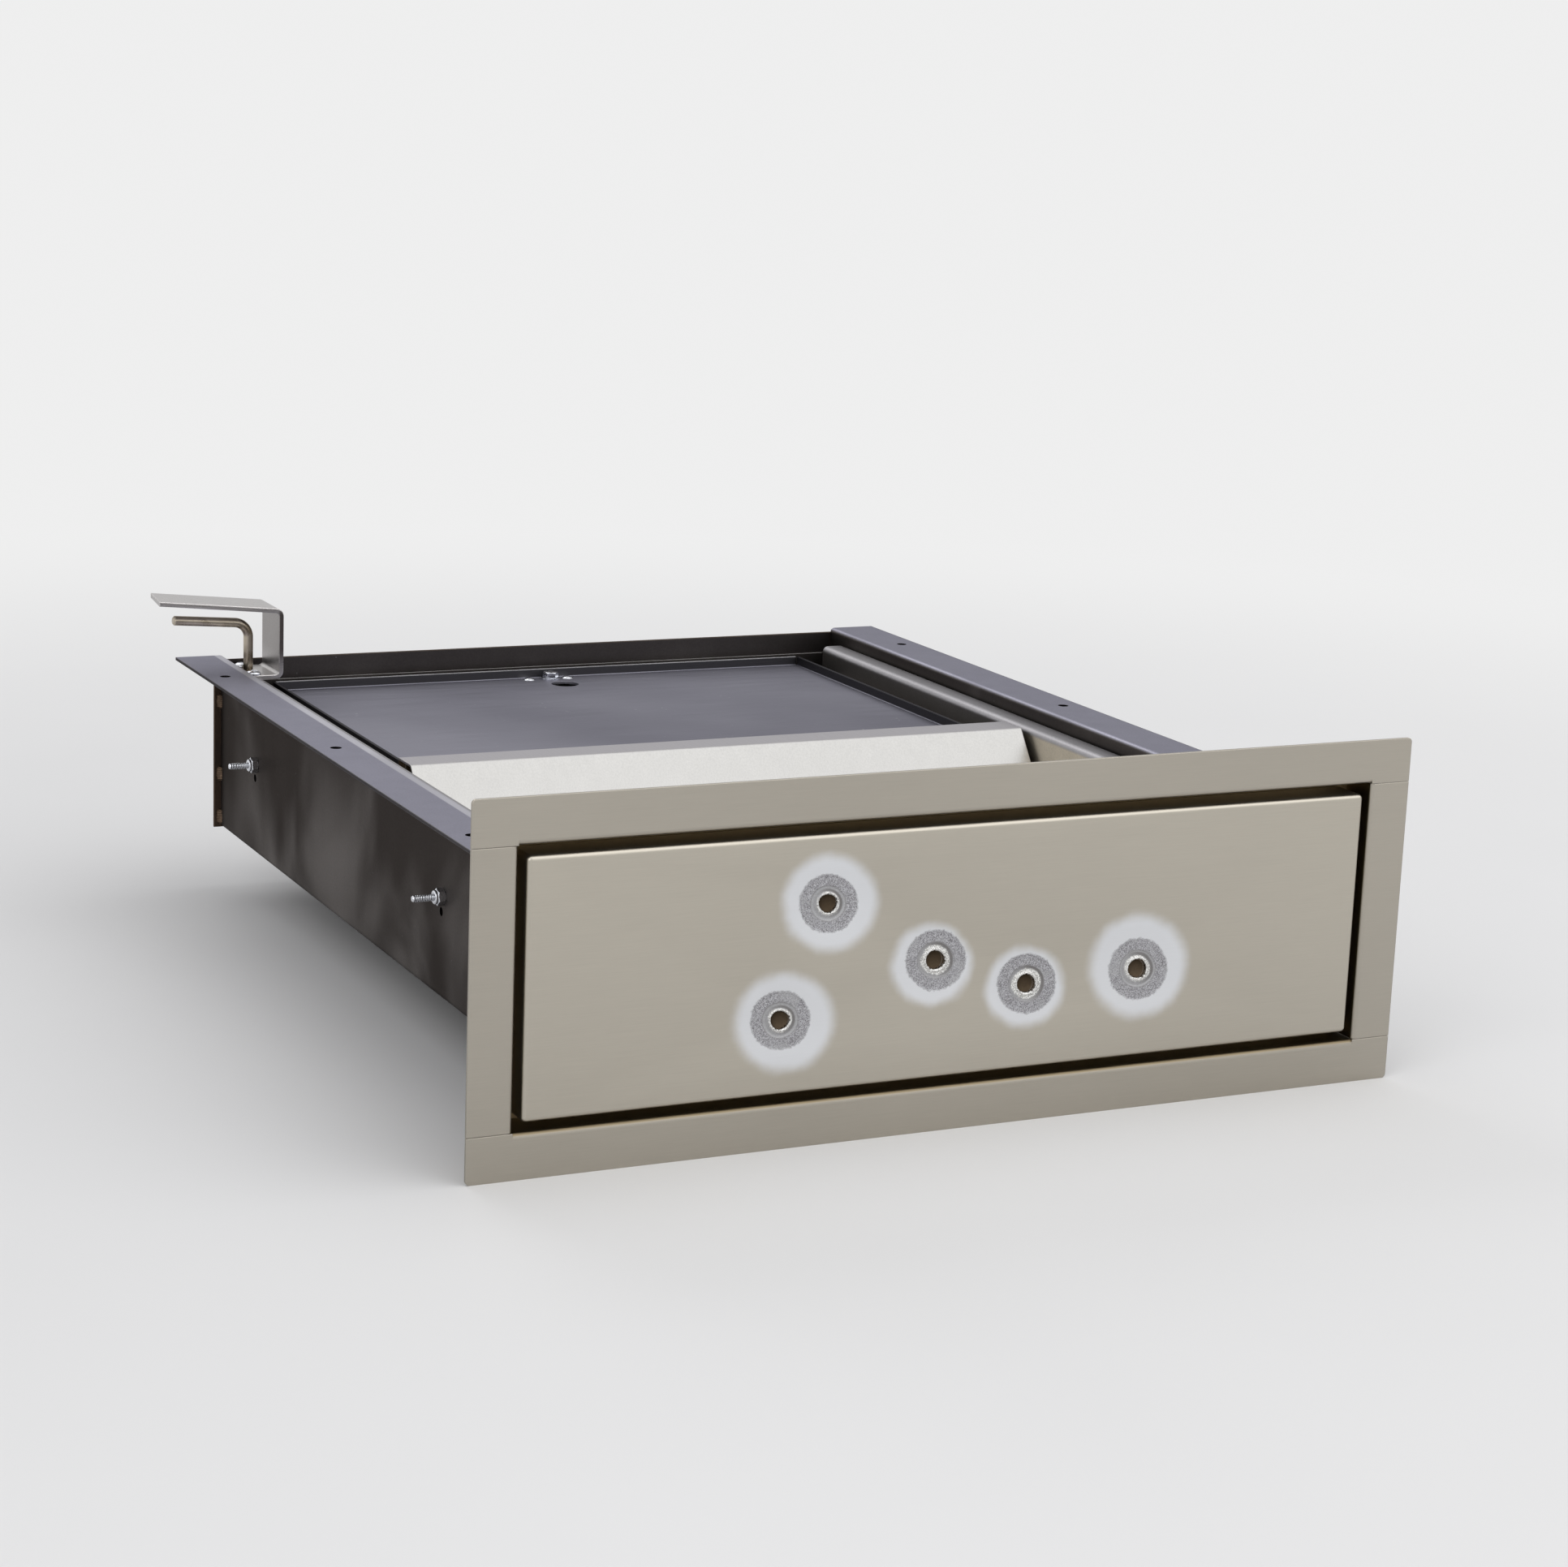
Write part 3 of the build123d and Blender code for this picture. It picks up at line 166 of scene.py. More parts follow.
streaks = add(tree, "TexNoise", Vector=wide, Scale=1.0, Detail=2.0, Roughness=0.5)
cloud = add(tree, "TexNoise", Vector=entry["Vector"], Scale=4.5, Detail=2.0, Roughness=0.5)
tree.links.new(lines, leave["Lines"])
tree.links.new(streaks.outputs[0], leave["Streaks"])
tree.links.new(cloud.outputs[0], leave["Cloud"])

# Edges: how far a rounded edge's normal leans from the face's own, used as the mask for a painted
# highlight on edges
soft_edges, entry, leave = effect(
    "soft_edges", {"Normal": "Vector", "Wear": "Float"}, Radius=0.0006
)
tree = soft_edges
rounded = add(tree, "Bevel", samples=4, Radius=entry["Radius"]).outputs[0]
flat = tree.nodes.new("ShaderNodeNewGeometry").outputs["Normal"]
lean = add(tree, "VectorMath", rounded, flat, operation="DOT_PRODUCT").outputs["Value"]
bevel_highlight = ramp(tree, maths(tree, "SUBTRACT", 1.0, lean), 0.01, 0.2)
tree.links.new(rounded, leave["Normal"])
tree.links.new(bevel_highlight, leave["Wear"])


def blank(name):
    """A new material's tree, shader and object coordinates."""
    material = bpy.data.materials.new(name)
    material.use_nodes = True
    tree = material.node_tree
    shader = tree.nodes["Principled BSDF"]
    place = tree.nodes.new("ShaderNodeTexCoord").outputs["Object"]
    return material, tree, shader, place


def reopen(material):
    """A finished material's tree, shader, object coordinates and colour so far."""
    tree = material.node_tree
    shader = tree.nodes["Principled BSDF"]
    place = next(node for node in tree.nodes if node.bl_idname == "ShaderNodeTexCoord")
    return tree, shader, place.outputs["Object"], shader.inputs["Base Color"].links[0].from_socket


def brushed_steel(
    name, colour, turn=(0, 0, 0), length=0.05, width=0.0006, contrast=0.1, cloud=0.06,
    roughness=0.34, edge=0.0007, highlight_strength=0.35, bump=0.06, grazing=(0.75, 0.75, 0.75, 1.0),
):
    """Brushed sheet: colour * (1 + contrast * lines + cloud * clouds + strength * edges), the last
    term a painted highlight on rounded edges.
    """
    material, tree, shader, place = blank(name)
    laid = add(tree, "Mapping", Vector=place, Rotation=turn).outputs[0]
    grain = use(tree, brushed_grain, Vector=laid, Length=length, Width=width)
    edges = use(tree, soft_edges, Radius=edge)
    total = 1.0
    for layer, weight in (("Lines", contrast * 2), ("Streaks", contrast * 0.35), ("Cloud", cloud)):
        swing = times(tree, maths(tree, "SUBTRACT", grain[layer], 0.5), weight)
        total = maths(tree, "ADD", total, swing)
    # Painted highlight along rounded edges
    grain_and_highlight = maths(tree, "ADD", total, times(tree, edges["Wear"], highlight_strength))
    lit = add(tree, "VectorMath", colour[:3], operation="SCALE", Scale=grain_and_highlight).outputs[0]
    tree.links.new(lit, shader.inputs["Base Color"])
    rough = ramp(tree, grain["Lines"], 0.2, 0.8, roughness - 0.05, roughness + 0.05)
    tree.links.new(rough, shader.inputs["Roughness"])
    raised = add(
        tree, "Bump", Strength=bump, Distance=0.0002, Height=grain["Lines"], Normal=edges["Normal"]
    )
    tree.links.new(raised.outputs[0], shader.inputs["Normal"])
    shader.inputs["Metallic"].default_value = 1.0
    shader.inputs["Specular Tint"].default_value = grazing
    return material


def dress(material, *names):
    """Puts a material on CAD nodes."""
    for name in names:
        nodes[name].data.materials.clear()
        nodes[name].data.materials.append(material)


OPENING_HALF, OPENING_LOW, OPENING_HIGH, FACE = 260.35, -134.4, 18.0, -327.0
# Its rounded edges get a faint painted highlight
faceplate_finish = brushed_steel(
    "faceplate_finish", tone(178, 172, 161), length=0.03, contrast=0.07, cloud=0.16, highlight_strength=0.12,
    bump=0.1,
)
# The folds that face the opening are darker and browner than the face
tree, shader, place, colour = reopen(faceplate_finish)
x, y, z = add(tree, "SeparateXYZ", place).outputs
fold = times(
    tree,
    falls(tree, maths(tree, "ABSOLUTE", x), OPENING_HALF + 0.10, OPENING_HALF + 0.25),
    rises(tree, z, OPENING_LOW - 3.0, OPENING_LOW - 0.9),
    falls(tree, z, OPENING_HIGH + 0.10, OPENING_HIGH + 0.25),
    rises(tree, y, FACE - 0.2, FACE + 0.7),
)
tree.links.new(blend(tree, fold, colour, tone(124, 112, 90)), shader.inputs["Base Color"])
dress(
    faceplate_finish,
    "faceplate_top_rail",
    "faceplate_bottom_rail",
    "faceplate_left_stile",
    "faceplate_right_stile",
)


# ---- Housing ----
# A trough folded from one sheet of mill finish stainless, with a ring welded to its front
# and a plate to its rear. Handling has left it cloudy, and its flange tops are painted lighter as
# light falling from above.
def mill_steel(
    name, dark, pale, flange_lit_tone=None, flange_from=0.0, smear=(3.0, 5.5, 4.0), roughness=0.4,
    grazing=(0.3, 0.3, 0.3, 1.0), edge_highlight_tone=(0.42, 0.41, 0.41, 1.0), cut_edge=None, inside=None,
):
    """Mill finish: dark sheet with paler clouds that gather lower down. Flanges above flange_from
    are painted lighter as light from above; the sheet's cut edge past cut_edge has its own tone;
    the front of the drawer's sides is painted tan as a painted reflection of the scoop; rounded
    edges get a painted highlight."""
    material, tree, shader, place = blank(name)
    x, y, z = add(tree, "SeparateXYZ", place).outputs
    drawn = add(tree, "Mapping", Vector=place, Scale=smear).outputs[0]
    swirl = add(
        tree, "TexNoise", Vector=drawn, Scale=1.6, Detail=2.5, Roughness=0.5, Distortion=0.6
    ).outputs[0]
    sunk = maths(tree, "ADD", swirl, times(tree, z, -1.6))
    sheet = blend(tree, ramp(tree, sunk, 0.52, 0.86), dark, pale)
    # The front of the drawer's sides is painted tan: a painted reflection of the bright scoop
    if inside:
        sheet = blend(tree, falls(tree, y, -12.0, 4.0), sheet, inside)
    # Flange tops painted lighter: painted light falling from above
    if flange_lit_tone:
        darker = tuple(0.82 * part for part in flange_lit_tone[:3]) + (1.0,)
        top = blend(tree, ramp(tree, swirl, 0.3, 0.65), flange_lit_tone, darker)
        sheet = blend(tree, rises(tree, z, flange_from - 2.2, flange_from), sheet, top)
    if cut_edge:
        beyond = maths(tree, "ABSOLUTE", x)
        cut = rises(tree, beyond, cut_edge - 0.4, cut_edge)
        sheet = blend(tree, cut, sheet, tone(96, 94, 96))
    specks = add(tree, "TexVoronoi", Vector=place, Scale=95.0).outputs["Distance"]
    dots = ramp(tree, specks, 0.02, 0.06, 0.35, 0.0)
    sheet = blend(tree, dots, sheet, (0.36, 0.36, 0.36, 1.0))
    edges = use(tree, soft_edges, Radius=0.0008)
    # Painted highlight on rounded edges
    sheet = blend(tree, times(tree, edges["Wear"], 0.55), sheet, edge_highlight_tone)
    fine = add(tree, "TexNoise", Vector=place, Scale=900.0, Detail=2.0).outputs[0]
    pulled = add(tree, "Mapping", Vector=place, Scale=(60.0, 60.0, 3.0)).outputs[0]
    drag = add(tree, "TexNoise", Vector=pulled, Scale=1.5, Detail=3.0).outputs[0]
    grit = ramp(tree, fine, 0.3, 0.7, 0.95, 1.05)
    grit = times(tree, grit, ramp(tree, drag, 0.3, 0.7, 0.98, 1.02))
    lit = add(tree, "VectorMath", sheet, operation="SCALE", Scale=grit).outputs[0]
    tree.links.new(lit, shader.inputs["Base Color"])
    rough = ramp(tree, swirl, 0.35, 0.7, roughness, roughness + 0.1)
    tree.links.new(rough, shader.inputs["Roughness"])
    tree.links.new(edges["Normal"], shader.inputs["Normal"])
    shader.inputs["Metallic"].default_value = 1.0
    shader.inputs["Specular Tint"].default_value = grazing
    return material


def length_of(tree, *parts):
    """The length of a vector made of two parts."""
    spot = add(tree, "CombineXYZ", *parts).outputs[0]
    return add(tree, "VectorMath", spot, operation="LENGTH").outputs["Value"]


def off_axis(tree, place, fore, aft, level):
    """Distance from the nearer of two lines along x, at y = fore or aft and z = level in mm."""
    _, y, z = add(tree, "SeparateXYZ", place).outputs
    past = maths(tree, "ABSOLUTE", maths(tree, "SUBTRACT", y, (fore + aft) / 2 * MM))
    past = maths(tree, "SUBTRACT", past, (aft - fore) / 2 * MM)
    return length_of(tree, past, maths(tree, "SUBTRACT", z, level * MM))


# The flange tops are painted a lighter tone: painted light falling from above
housing_finish = mill_steel(
    "housing_finish", tone(86, 82, 80), tone(128, 124, 122), tone(170, 169, 182), -0.2,
    cut_edge=261.4,
)
# Shade in the bolt holes of the flanges and the pilot holes under the screws, and a painted
# highlight along the inner bend of the left flange
BOLT_ACROSS, BOLT_SPACING = 248.8, 228.6 * MM
PILOT_FORE, PILOT_AFT, PILOT_LEVEL = -133.6, 222.8, -67.8
tree, shader, place, colour = reopen(housing_finish)
x, y, z = add(tree, "SeparateXYZ", place).outputs
beyond = maths(tree, "ABSOLUTE", x)
turns = maths(tree, "ROUND", maths(tree, "DIVIDE", y, BOLT_SPACING))
past = maths(tree, "SUBTRACT", y, times(tree, turns, BOLT_SPACING))
away = length_of(tree, maths(tree, "SUBTRACT", beyond, BOLT_ACROSS * MM), past)
bolt_hole = falls(tree, away, 3.3, 3.6)
away = off_axis(tree, place, PILOT_FORE, PILOT_AFT, PILOT_LEVEL)
pilot_hole = times(tree, falls(tree, away, 2.5, 2.8), rises(tree, beyond, 227.0, 228.0))
left_bend_highlight = times(
    tree,
    rises(tree, x, -235.8, -234.5),
    falls(tree, x, -227.0, -226.6),
    rises(tree, z, -4.0, -2.0),
    0.8,
)
colour = blend(tree, left_bend_highlight, colour, tone(214, 213, 219))
colour = blend(tree, maths(tree, "MAXIMUM", bolt_hole, pilot_hole), colour, tone(24, 22, 22))
tree.links.new(colour, shader.inputs["Base Color"])
dress(housing_finish, "housing_shell", "rear_stop_plate", "lock_keeper")

# The rear plate's ends, browned by the welds
# Its rounded edges get a light brown painted highlight
rear_finish = mill_steel(
    "rear_finish", tone(76, 72, 71), tone(112, 108, 106), edge_highlight_tone=tone(120, 100, 82)
)
tree, shader, place, colour = reopen(rear_finish)
beyond = maths(tree, "ABSOLUTE", add(tree, "SeparateXYZ", place).outputs["X"])
patchy = add(tree, "TexNoise", Vector=place, Scale=45.0, Detail=2.0).outputs[0]
heat = times(tree, rises(tree, beyond, 225.5, 230.5), ramp(tree, patchy, 0.3, 0.6, 0.5, 1.0))
tree.links.new(blend(tree, heat, colour, tone(104, 88, 76)), shader.inputs["Base Color"])
dress(rear_finish, "housing_rear_wall")

# The ring's front, seen through the gap round the panel, is painted pale tan there: painted bounce
# light in the gap
RING_FRONT = -303.0
ring_finish = mill_steel("ring_finish", tone(92, 88, 84), tone(124, 119, 114))
tree, shader, place, colour = reopen(ring_finish)
x, y, z = add(tree, "SeparateXYZ", place).outputs
gap_bounce_light = times(
    tree,
    falls(tree, maths(tree, "ABSOLUTE", x), OPENING_HALF + 0.45, OPENING_HALF + 0.85),
    rises(tree, z, OPENING_LOW - 0.9, OPENING_LOW - 0.5),
    falls(tree, z, OPENING_HIGH + 0.5, OPENING_HIGH + 0.9),
    falls(tree, y, RING_FRONT + 0.2, RING_FRONT + 0.7),
)
tree.links.new(blend(tree, gap_bounce_light, colour, tone(170, 150, 116)), shader.inputs["Base Color"])
dress(ring_finish, "front_ring")

# Beads laid where the rear plate meets the side walls, straw coloured by the heat
bead_finish, tree, shader, place = blank("bead_finish")
ripple = add(tree, "TexNoise", Vector=place, Scale=420.0, Detail=2.0).outputs[0]
straw = blend(tree, ripple, tone(66, 54, 46), tone(116, 98, 82))
tree.links.new(straw, shader.inputs["Base Color"])
tree.links.new(ramp(tree, ripple, 0.3, 0.7, 0.3, 0.55), shader.inputs["Roughness"])
shader.inputs["Metallic"].default_value = 1.0
WALL, PLATE = 230.2, 301.6


def bead(side, middle):
    """x = wall + r cos a, y = plate - r sin a, z = middle + 5 t: r swells by 6% at each ripple."""
    t = np.linspace(-1, 1, 41)[:, None]
    a = np.linspace(0, pi / 2, 9)[None, :]
    taper = 0.25 + 0.75 * np.sqrt(np.clip(1 - t**4, 0, 1))
    radius = (3.4 - 0.55 * np.sin(2 * a)) * taper * (0.94 + 0.06 * np.cos(26 * t - a))
    x = side * (WALL + radius * np.cos(a))
    skin = np.stack([x, PLATE - radius * np.sin(a), middle + 5 * t + 0 * radius], axis=-1)
    root = np.broadcast_to(np.array([side * WALL, PLATE, 0.0]), skin[:, :1].shape).copy()
    root[:, 0, 2] = skin[:, 0, 2]
    ring = np.concatenate([root, skin, root], axis=1)
    ends = [np.stack([end, np.broadcast_to(end.mean(axis=0), end.shape)]) for end in ring[[0, -1]]]
    return [MM * ring, MM * ends[0], MM * ends[1]]


BEADS_AT = [(side, middle) for side in (-1, 1) for middle in (-111.2, -81.4, -31.4)]


# ---- Rubber ----
# A closed-cell strip behind the panel's edge and two buffers on the rear stop, moulded and
# matt, with a bloom of dust.
rubber_finish, tree, shader, place = blank("rubber_finish")
bloom = add(tree, "TexNoise", Vector=place, Scale=160.0, Detail=4.0).outputs[0]
dusty = blend(tree, bloom, tone(24, 24, 25), tone(52, 52, 54))
tree.links.new(dusty, shader.inputs["Base Color"])
tree.links.new(ramp(tree, bloom, 0.3, 0.7, 0.65, 0.85), shader.inputs["Roughness"])
dress(rubber_finish, "pocket_gasket", "rear_bumpers")


# ---- Slides ----
# Three rolled members a side in bright zinc, with hard balls held in stamped strips between
# them. Steel rivets hold the inner member to the drawer.
def zinc_plate(name, colour, roughness=0.28, scale=70.0):
    """Bright zinc: colour clouded by slow noise, with fine spangles in its gloss."""
    material, tree, shader, place = blank(name)
    slow = add(tree, "TexNoise", Vector=place, Scale=scale, Detail=3.0).outputs[0]
    fine = add(tree, "TexNoise", Vector=place, Scale=scale * 12, Detail=2.0).outputs[0]
    edges = use(tree, soft_edges, Radius=0.0003)
    shown = ramp(tree, slow, 0.25, 0.75, 0.85, 1.1)
    lit = add(tree, "VectorMath", colour[:3], operation="SCALE", Scale=shown).outputs[0]
    tree.links.new(lit, shader.inputs["Base Color"])
    rough = ramp(tree, fine, 0.3, 0.7, roughness - 0.06, roughness + 0.08)
    tree.links.new(rough, shader.inputs["Roughness"])
    tree.links.new(edges["Normal"], shader.inputs["Normal"])
    shader.inputs["Metallic"].default_value = 1.0
    return material


slide_finish = zinc_plate("slide_finish", tone(186, 188, 192), 0.33)
cage_finish = zinc_plate("cage_finish", tone(172, 173, 172), 0.4)
ball_finish = zinc_plate("ball_finish", tone(205, 206, 208), 0.12)
screw_finish = zinc_plate("screw_finish", tone(224, 226, 232), 0.18, 180.0)
for hand in ("left", "right"):
    dress(slide_finish, f"slide_outer_{hand}", f"slide_middle_{hand}", f"slide_inner_{hand}")
    dress(cage_finish, f"cage_outer_{hand}", f"cage_inner_{hand}")
    dress(ball_finish, f"balls_outer_{hand}", f"balls_inner_{hand}")
dress(slide_finish, "slide_rivets")


def frame_for(direction):
    """Two directions square to a third."""
    along = np.array(direction, float) / np.linalg.norm(direction)
    start = np.array((0.0, 0.0, 1.0)) if abs(along[2]) < 0.9 else np.array((1.0, 0.0, 0.0))
    first = np.cross(start, along)
    first /= np.linalg.norm(first)
    return first, np.cross(along, first), along


def around(origin, direction, radii, heights, turn=0.0):
    """A grid of origin + r * (cos a * first + sin a * second) + h * direction, a from 0 to 2 pi."""
    first, second, along = frame_for(direction)
    angles = turn + np.linspace(0, 2 * pi, radii.shape[1])
    flat = np.cos(angles)[:, None] * first + np.sin(angles)[:, None] * second
    return MM * (np.array(origin) + radii[..., None] * flat[None] + heights[..., None] * along)


def joined(grids):
    """Points and faces of grids: (i, j) joins (i + 1, j), (i + 1, j + 1) and (i, j + 1)."""
    points, faces, start = [], [], 0
    for grid in grids:
        rows, columns = grid.shape[:2]
        index = start + np.arange(rows * columns).reshape(rows, columns)
        corners = (index[:-1, :-1], index[1:, :-1], index[1:, 1:], index[:-1, 1:])
        faces += np.stack(corners, axis=-1).reshape(-1, 4).tolist()
        points.append(grid.reshape(-1, 3))
        start += rows * columns
    return np.vstack(points), faces


def solid(name, grids, material, body, replaced, sharp=32):
    """One piece from grids."""
    points, faces = joined(grids)
    mesh = bpy.data.meshes.new(name)
    mesh.from_pydata(points.tolist(), [], faces)
    close(name, mesh, material, body, replaced, sharp)


def close(name, mesh, material, body, replaced, sharp):
    """Merges a mesh's seams, turns its faces outwards and hangs it on its body."""
    work = bmesh.new()
    work.from_mesh(mesh)
    bmesh.ops.remove_doubles(work, verts=work.verts, dist=2e-6)
    bmesh.ops.dissolve_degenerate(work, edges=work.edges, dist=1e-7)
    bmesh.ops.recalc_face_normals(work, faces=work.faces)
    work.to_mesh(mesh)
    work.free()
    mesh.shade_smooth()
    mesh.set_sharp_from_angle(angle=radians(sharp))
    mesh.materials.append(material)
    piece = bpy.data.objects.new(name, mesh)
    bpy.context.scene.collection.objects.link(piece)
    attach(piece, body)
    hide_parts(*replaced)


grids = [grid for side, middle in BEADS_AT for grid in bead(side, middle)]
solid("rippled_beads", grids, bead_finish, "housing", ["rear_weld_beads"], 40)

# Countersunk screws through the housing's walls: r = core + depth * |2 * frac(h / pitch - a) - 1|
SCREW_FORE, SCREW_AFT, SCREW_LEVEL = -136.6, 219.8, -58.3
SCREWS_AT = [(side, y) for side in (-1, 1) for y in (SCREW_FORE, SCREW_AFT)]
PITCH, CORE, CREST = 1.05, 1.72, 0.36
SEAT, NECK, TIP = 226.8, 2.0, 21.4
grids = []
for side, y in SCREWS_AT:
    start = (side * SEAT, y, SCREW_LEVEL)
    steps = np.linspace(0, 1, 129)[:, None]
    turns = np.linspace(0, 1, 25)[None, :]
    height = NECK + (TIP - NECK) * steps + 0 * turns
    saw = np.abs(2 * np.mod(height / PITCH - side * turns, 1.0) - 1)
    fade = np.clip((1 - steps) * 14, 0, 1)
    radius = CORE + CREST * saw * (0.35 + 0.65 * fade)
    grids.append(around(start, (side, 0, 0), radius, height))
    head = np.array([[0.0], [1.4], [1.41], [3.55], [3.6], [CORE + 0.2]]) * np.ones((1, 25))
    rise = np.array([[0.7], [0.7], [0.0], [0.0], [0.15], [NECK]]) * np.ones((1, 25))
    grids.append(around(start, (side, 0, 0), head, rise))
    end = np.array([[CORE + CREST * 0.35], [1.5], [0.0]]) * np.ones((1, 25))
    out = np.array([[TIP], [TIP + 0.55], [TIP + 0.58]]) * np.ones((1, 25))
    grids.append(around(start, (side, 0, 0), end, out))
thread_finish = zinc_plate("thread_finish", tone(232, 234, 240), 0.16, 180.0)
tree, shader, place, colour = reopen(thread_finish)
# Painted shade in the thread roots
thread_root_shade = falls(tree, off_axis(tree, place, SCREW_FORE, SCREW_AFT, SCREW_LEVEL), 1.78, 1.96)
beyond = maths(tree, "ABSOLUTE", add(tree, "SeparateXYZ", place).outputs["X"])
thread_root_shade = times(tree, thread_root_shade, falls(tree, beyond, 247.5, 247.8))
tree.links.new(blend(tree, thread_root_shade, colour, tone(70, 72, 76)), shader.inputs["Base Color"])
solid(
    "threaded_slide_screws", grids, thread_finish, "housing", ["slide_screws"], 50
)


def hexagon(flats, height, bore, crown, steps=60):
    """A nut's skin: r = flats / 2 / cos(a mod 60 - 30), cut by a cone at each end."""
    angles = np.linspace(0, 2 * pi, steps + 1)
    reach = flats / 2 / np.cos(np.mod(angles, pi / 3) - pi / 6)
    levels = np.concatenate([np.linspace(0, crown, 5), np.linspace(height - crown, height, 5)])
    inward = np.minimum(levels, height - levels)
    cone = flats / 2 * 0.985 + inward / np.tan(radians(30))
    outer = np.minimum(reach[None, :], cone[:, None])
    ring = np.full((1, steps + 1), bore)
    radii = np.vstack([ring, outer, ring, ring])
    heights = np.concatenate([[0.0], levels, [height, 0.0]])
    return radii, np.repeat(heights[:, None], steps + 1, axis=1)


# Lock nuts: a hexagon with a rounded collar that grips the thread
grids = []
for side, y in SCREWS_AT:
    seat = (side * WALL, y, SCREW_LEVEL)
    radii, heights = hexagon(9.0, 4.2, 2.1, 0.9)
    grids.append(around(seat, (side, 0, 0), radii, heights, 0.3 * side))
    flat = np.ones((1, 37))
    swell = np.linspace(0, pi / 2, 7)[:, None] * flat
    radii = np.vstack([4.1 * flat, 3.2 + 0.9 * np.cos(swell), 2.1 * flat, 2.1 * flat])
    heights = np.vstack([4.2 * flat, 5.1 + 0.9 * np.sin(swell), 6.0 * flat, 4.2 * flat])
    grids.append(around(seat, (side, 0, 0), radii, heights))
solid("slide_lock_nuts", grids, screw_finish, "housing", ["slide_nuts"])


# ---- Drawer box ----
# Two folded sides with rolled top edges, a tray whose front wall carries the panel, and a
# rear wall, all of satin stainless sheet.
# The drawer's top edges above flange_from are painted lighter as light from above, and its rounded
# edges get a painted highlight
SATIN = {
    "dark": tone(128, 124, 122),
    "pale": tone(160, 156, 153),
    "flange_lit_tone": tone(172, 170, 173),
    "flange_from": -12.0,
    "smear": (6.0, 1.2, 6.0),
    "grazing": (0.5, 0.5, 0.5, 1.0),
    "edge_highlight_tone": (0.6, 0.6, 0.6, 1.0),
}
drawer_finish = mill_steel("drawer_finish", **SATIN)
# The front of the sides is painted tan, a painted reflection of the bright scoop
side_finish = mill_steel("side_finish", **SATIN, inside=tone(204, 195, 179))
dress(side_finish, "drawer_side_left", "drawer_side_right")
dress(drawer_finish, "drawer_pan", "drawer_rear_wall", "deck_ledge_left", "deck_ledge_right")


# ---- Front panel ----
# A folded stainless pan over a hard plate and a glass fibre laminate. Five test shots have
# gone through the skin: each left a ragged hole, a lip, a ground ring and a pale halo.
PANEL_HALF, PANEL_LOW, PANEL_HIGH = 255.5, -129.5, 12.1
BACK, SHEET, ROUND = -305.0, 1.9, 3.0
MARKS = (
    (-84.2, -25.8, 1.00, 26.0, 1.0, 0.2, 6.0),
    (-109.8, -87.8, 1.02, 26.3, 2.0, -1.0, 6.1),
    (-17.7, -62.6, 1.06, 21.4, -2.0, -2.2, 7.4),
    (39.8, -80.9, 1.06, 21.4, -1.0, -2.0, 7.7),
    (110.9, -78.6, 1.10, 26.5, 0.2, 1.4, 6.6),
)  # x, z and size of each; the halo's reach and shift and the lip's radius at size 1
HOLE, LIP_EDGE, STEP, DISH = 4.9, 6.6, 9.0, 15.8  # radii in mm
TEETH, STEPS = 18, 144
WIDEN, HEIGHTEN, LEAN = 1.12, 1.04, 0.09


def struck(radius, angle, seed):
    """Depth behind the face in mm: 0.3 in the dish, 0.45 more inside the step, 0.62 less on the
    lip, and 0.75 more where the lip curls in at the hole. Sums of cosines make the edges uneven."""
    random = np.random.default_rng(seed)
    uneven = 0.0
    for k in range(1, 7):
        uneven += random.uniform(-0.3, 0.3) * np.cos(k * angle + random.uniform(0, 2 * pi))
    fall = 0.30 * np.clip((DISH - radius) / 2.0, 0, 1)
    step = 0.45 / (1 + np.exp((radius - STEP - 0.3 * uneven) / 0.22))
    rise = 0.62 * np.clip((LIP_EDGE - 0.4 * uneven - radius) / 0.9, 0, 1) ** 1.5
    curl = 0.75 * np.clip((HOLE + 0.4 - radius) / 0.8, 0, 1)
    return fall + step - rise + curl


angles = np.linspace(0, 2 * pi, STEPS + 1)
grids, hole_rings, dish_rings = [], [], []
for index, (x, z, size, *_) in enumerate(MARKS):
    ragged = 0.45 * np.abs(np.sin(TEETH / 2 * angles + index)) + 0.3 * np.sin(3 * angles + index)
    hole = HOLE - 0.35 + ragged + 0.14 * np.sin(13 * angles + 2 * index)
    share = np.linspace(0, 1, 27)[:, None] ** 1.15
    radius = hole[None, :] * (1 - share) + DISH * share
    depth = struck(radius, angles[None, :] + 0 * radius, index)
    surface = np.stack(
        [
            x + WIDEN * size * radius * np.cos(angles),
            FACE + depth,
            z + HEIGHTEN * size * radius * (np.sin(angles) - LEAN * np.cos(angles)),
        ],
        axis=-1,
    )
    grids.append(surface)
    ring = surface[0].copy()
    drop = ring.copy()
    drop[:, 1] = FACE + SHEET
    grids.append(np.stack([drop, ring]))
    dish_rings.append(surface[-1][:-1])
    hole_rings.append(drop[:-1])

# The pan's outside: the outline grows by ROUND * sin t and falls back by ROUND * (1 - cos t)
turns = np.concatenate([np.linspace(0, pi / 2, 9) + quarter * pi / 2 for quarter in range(4)])
middle = (PANEL_LOW + PANEL_HIGH) / 2
across, tall = PANEL_HALF - ROUND, (PANEL_HIGH - PANEL_LOW) / 2 - ROUND
corner_x = np.repeat([1, -1, -1, 1], 9) * across
corner_z = middle + np.repeat([1, 1, -1, -1], 9) * tall


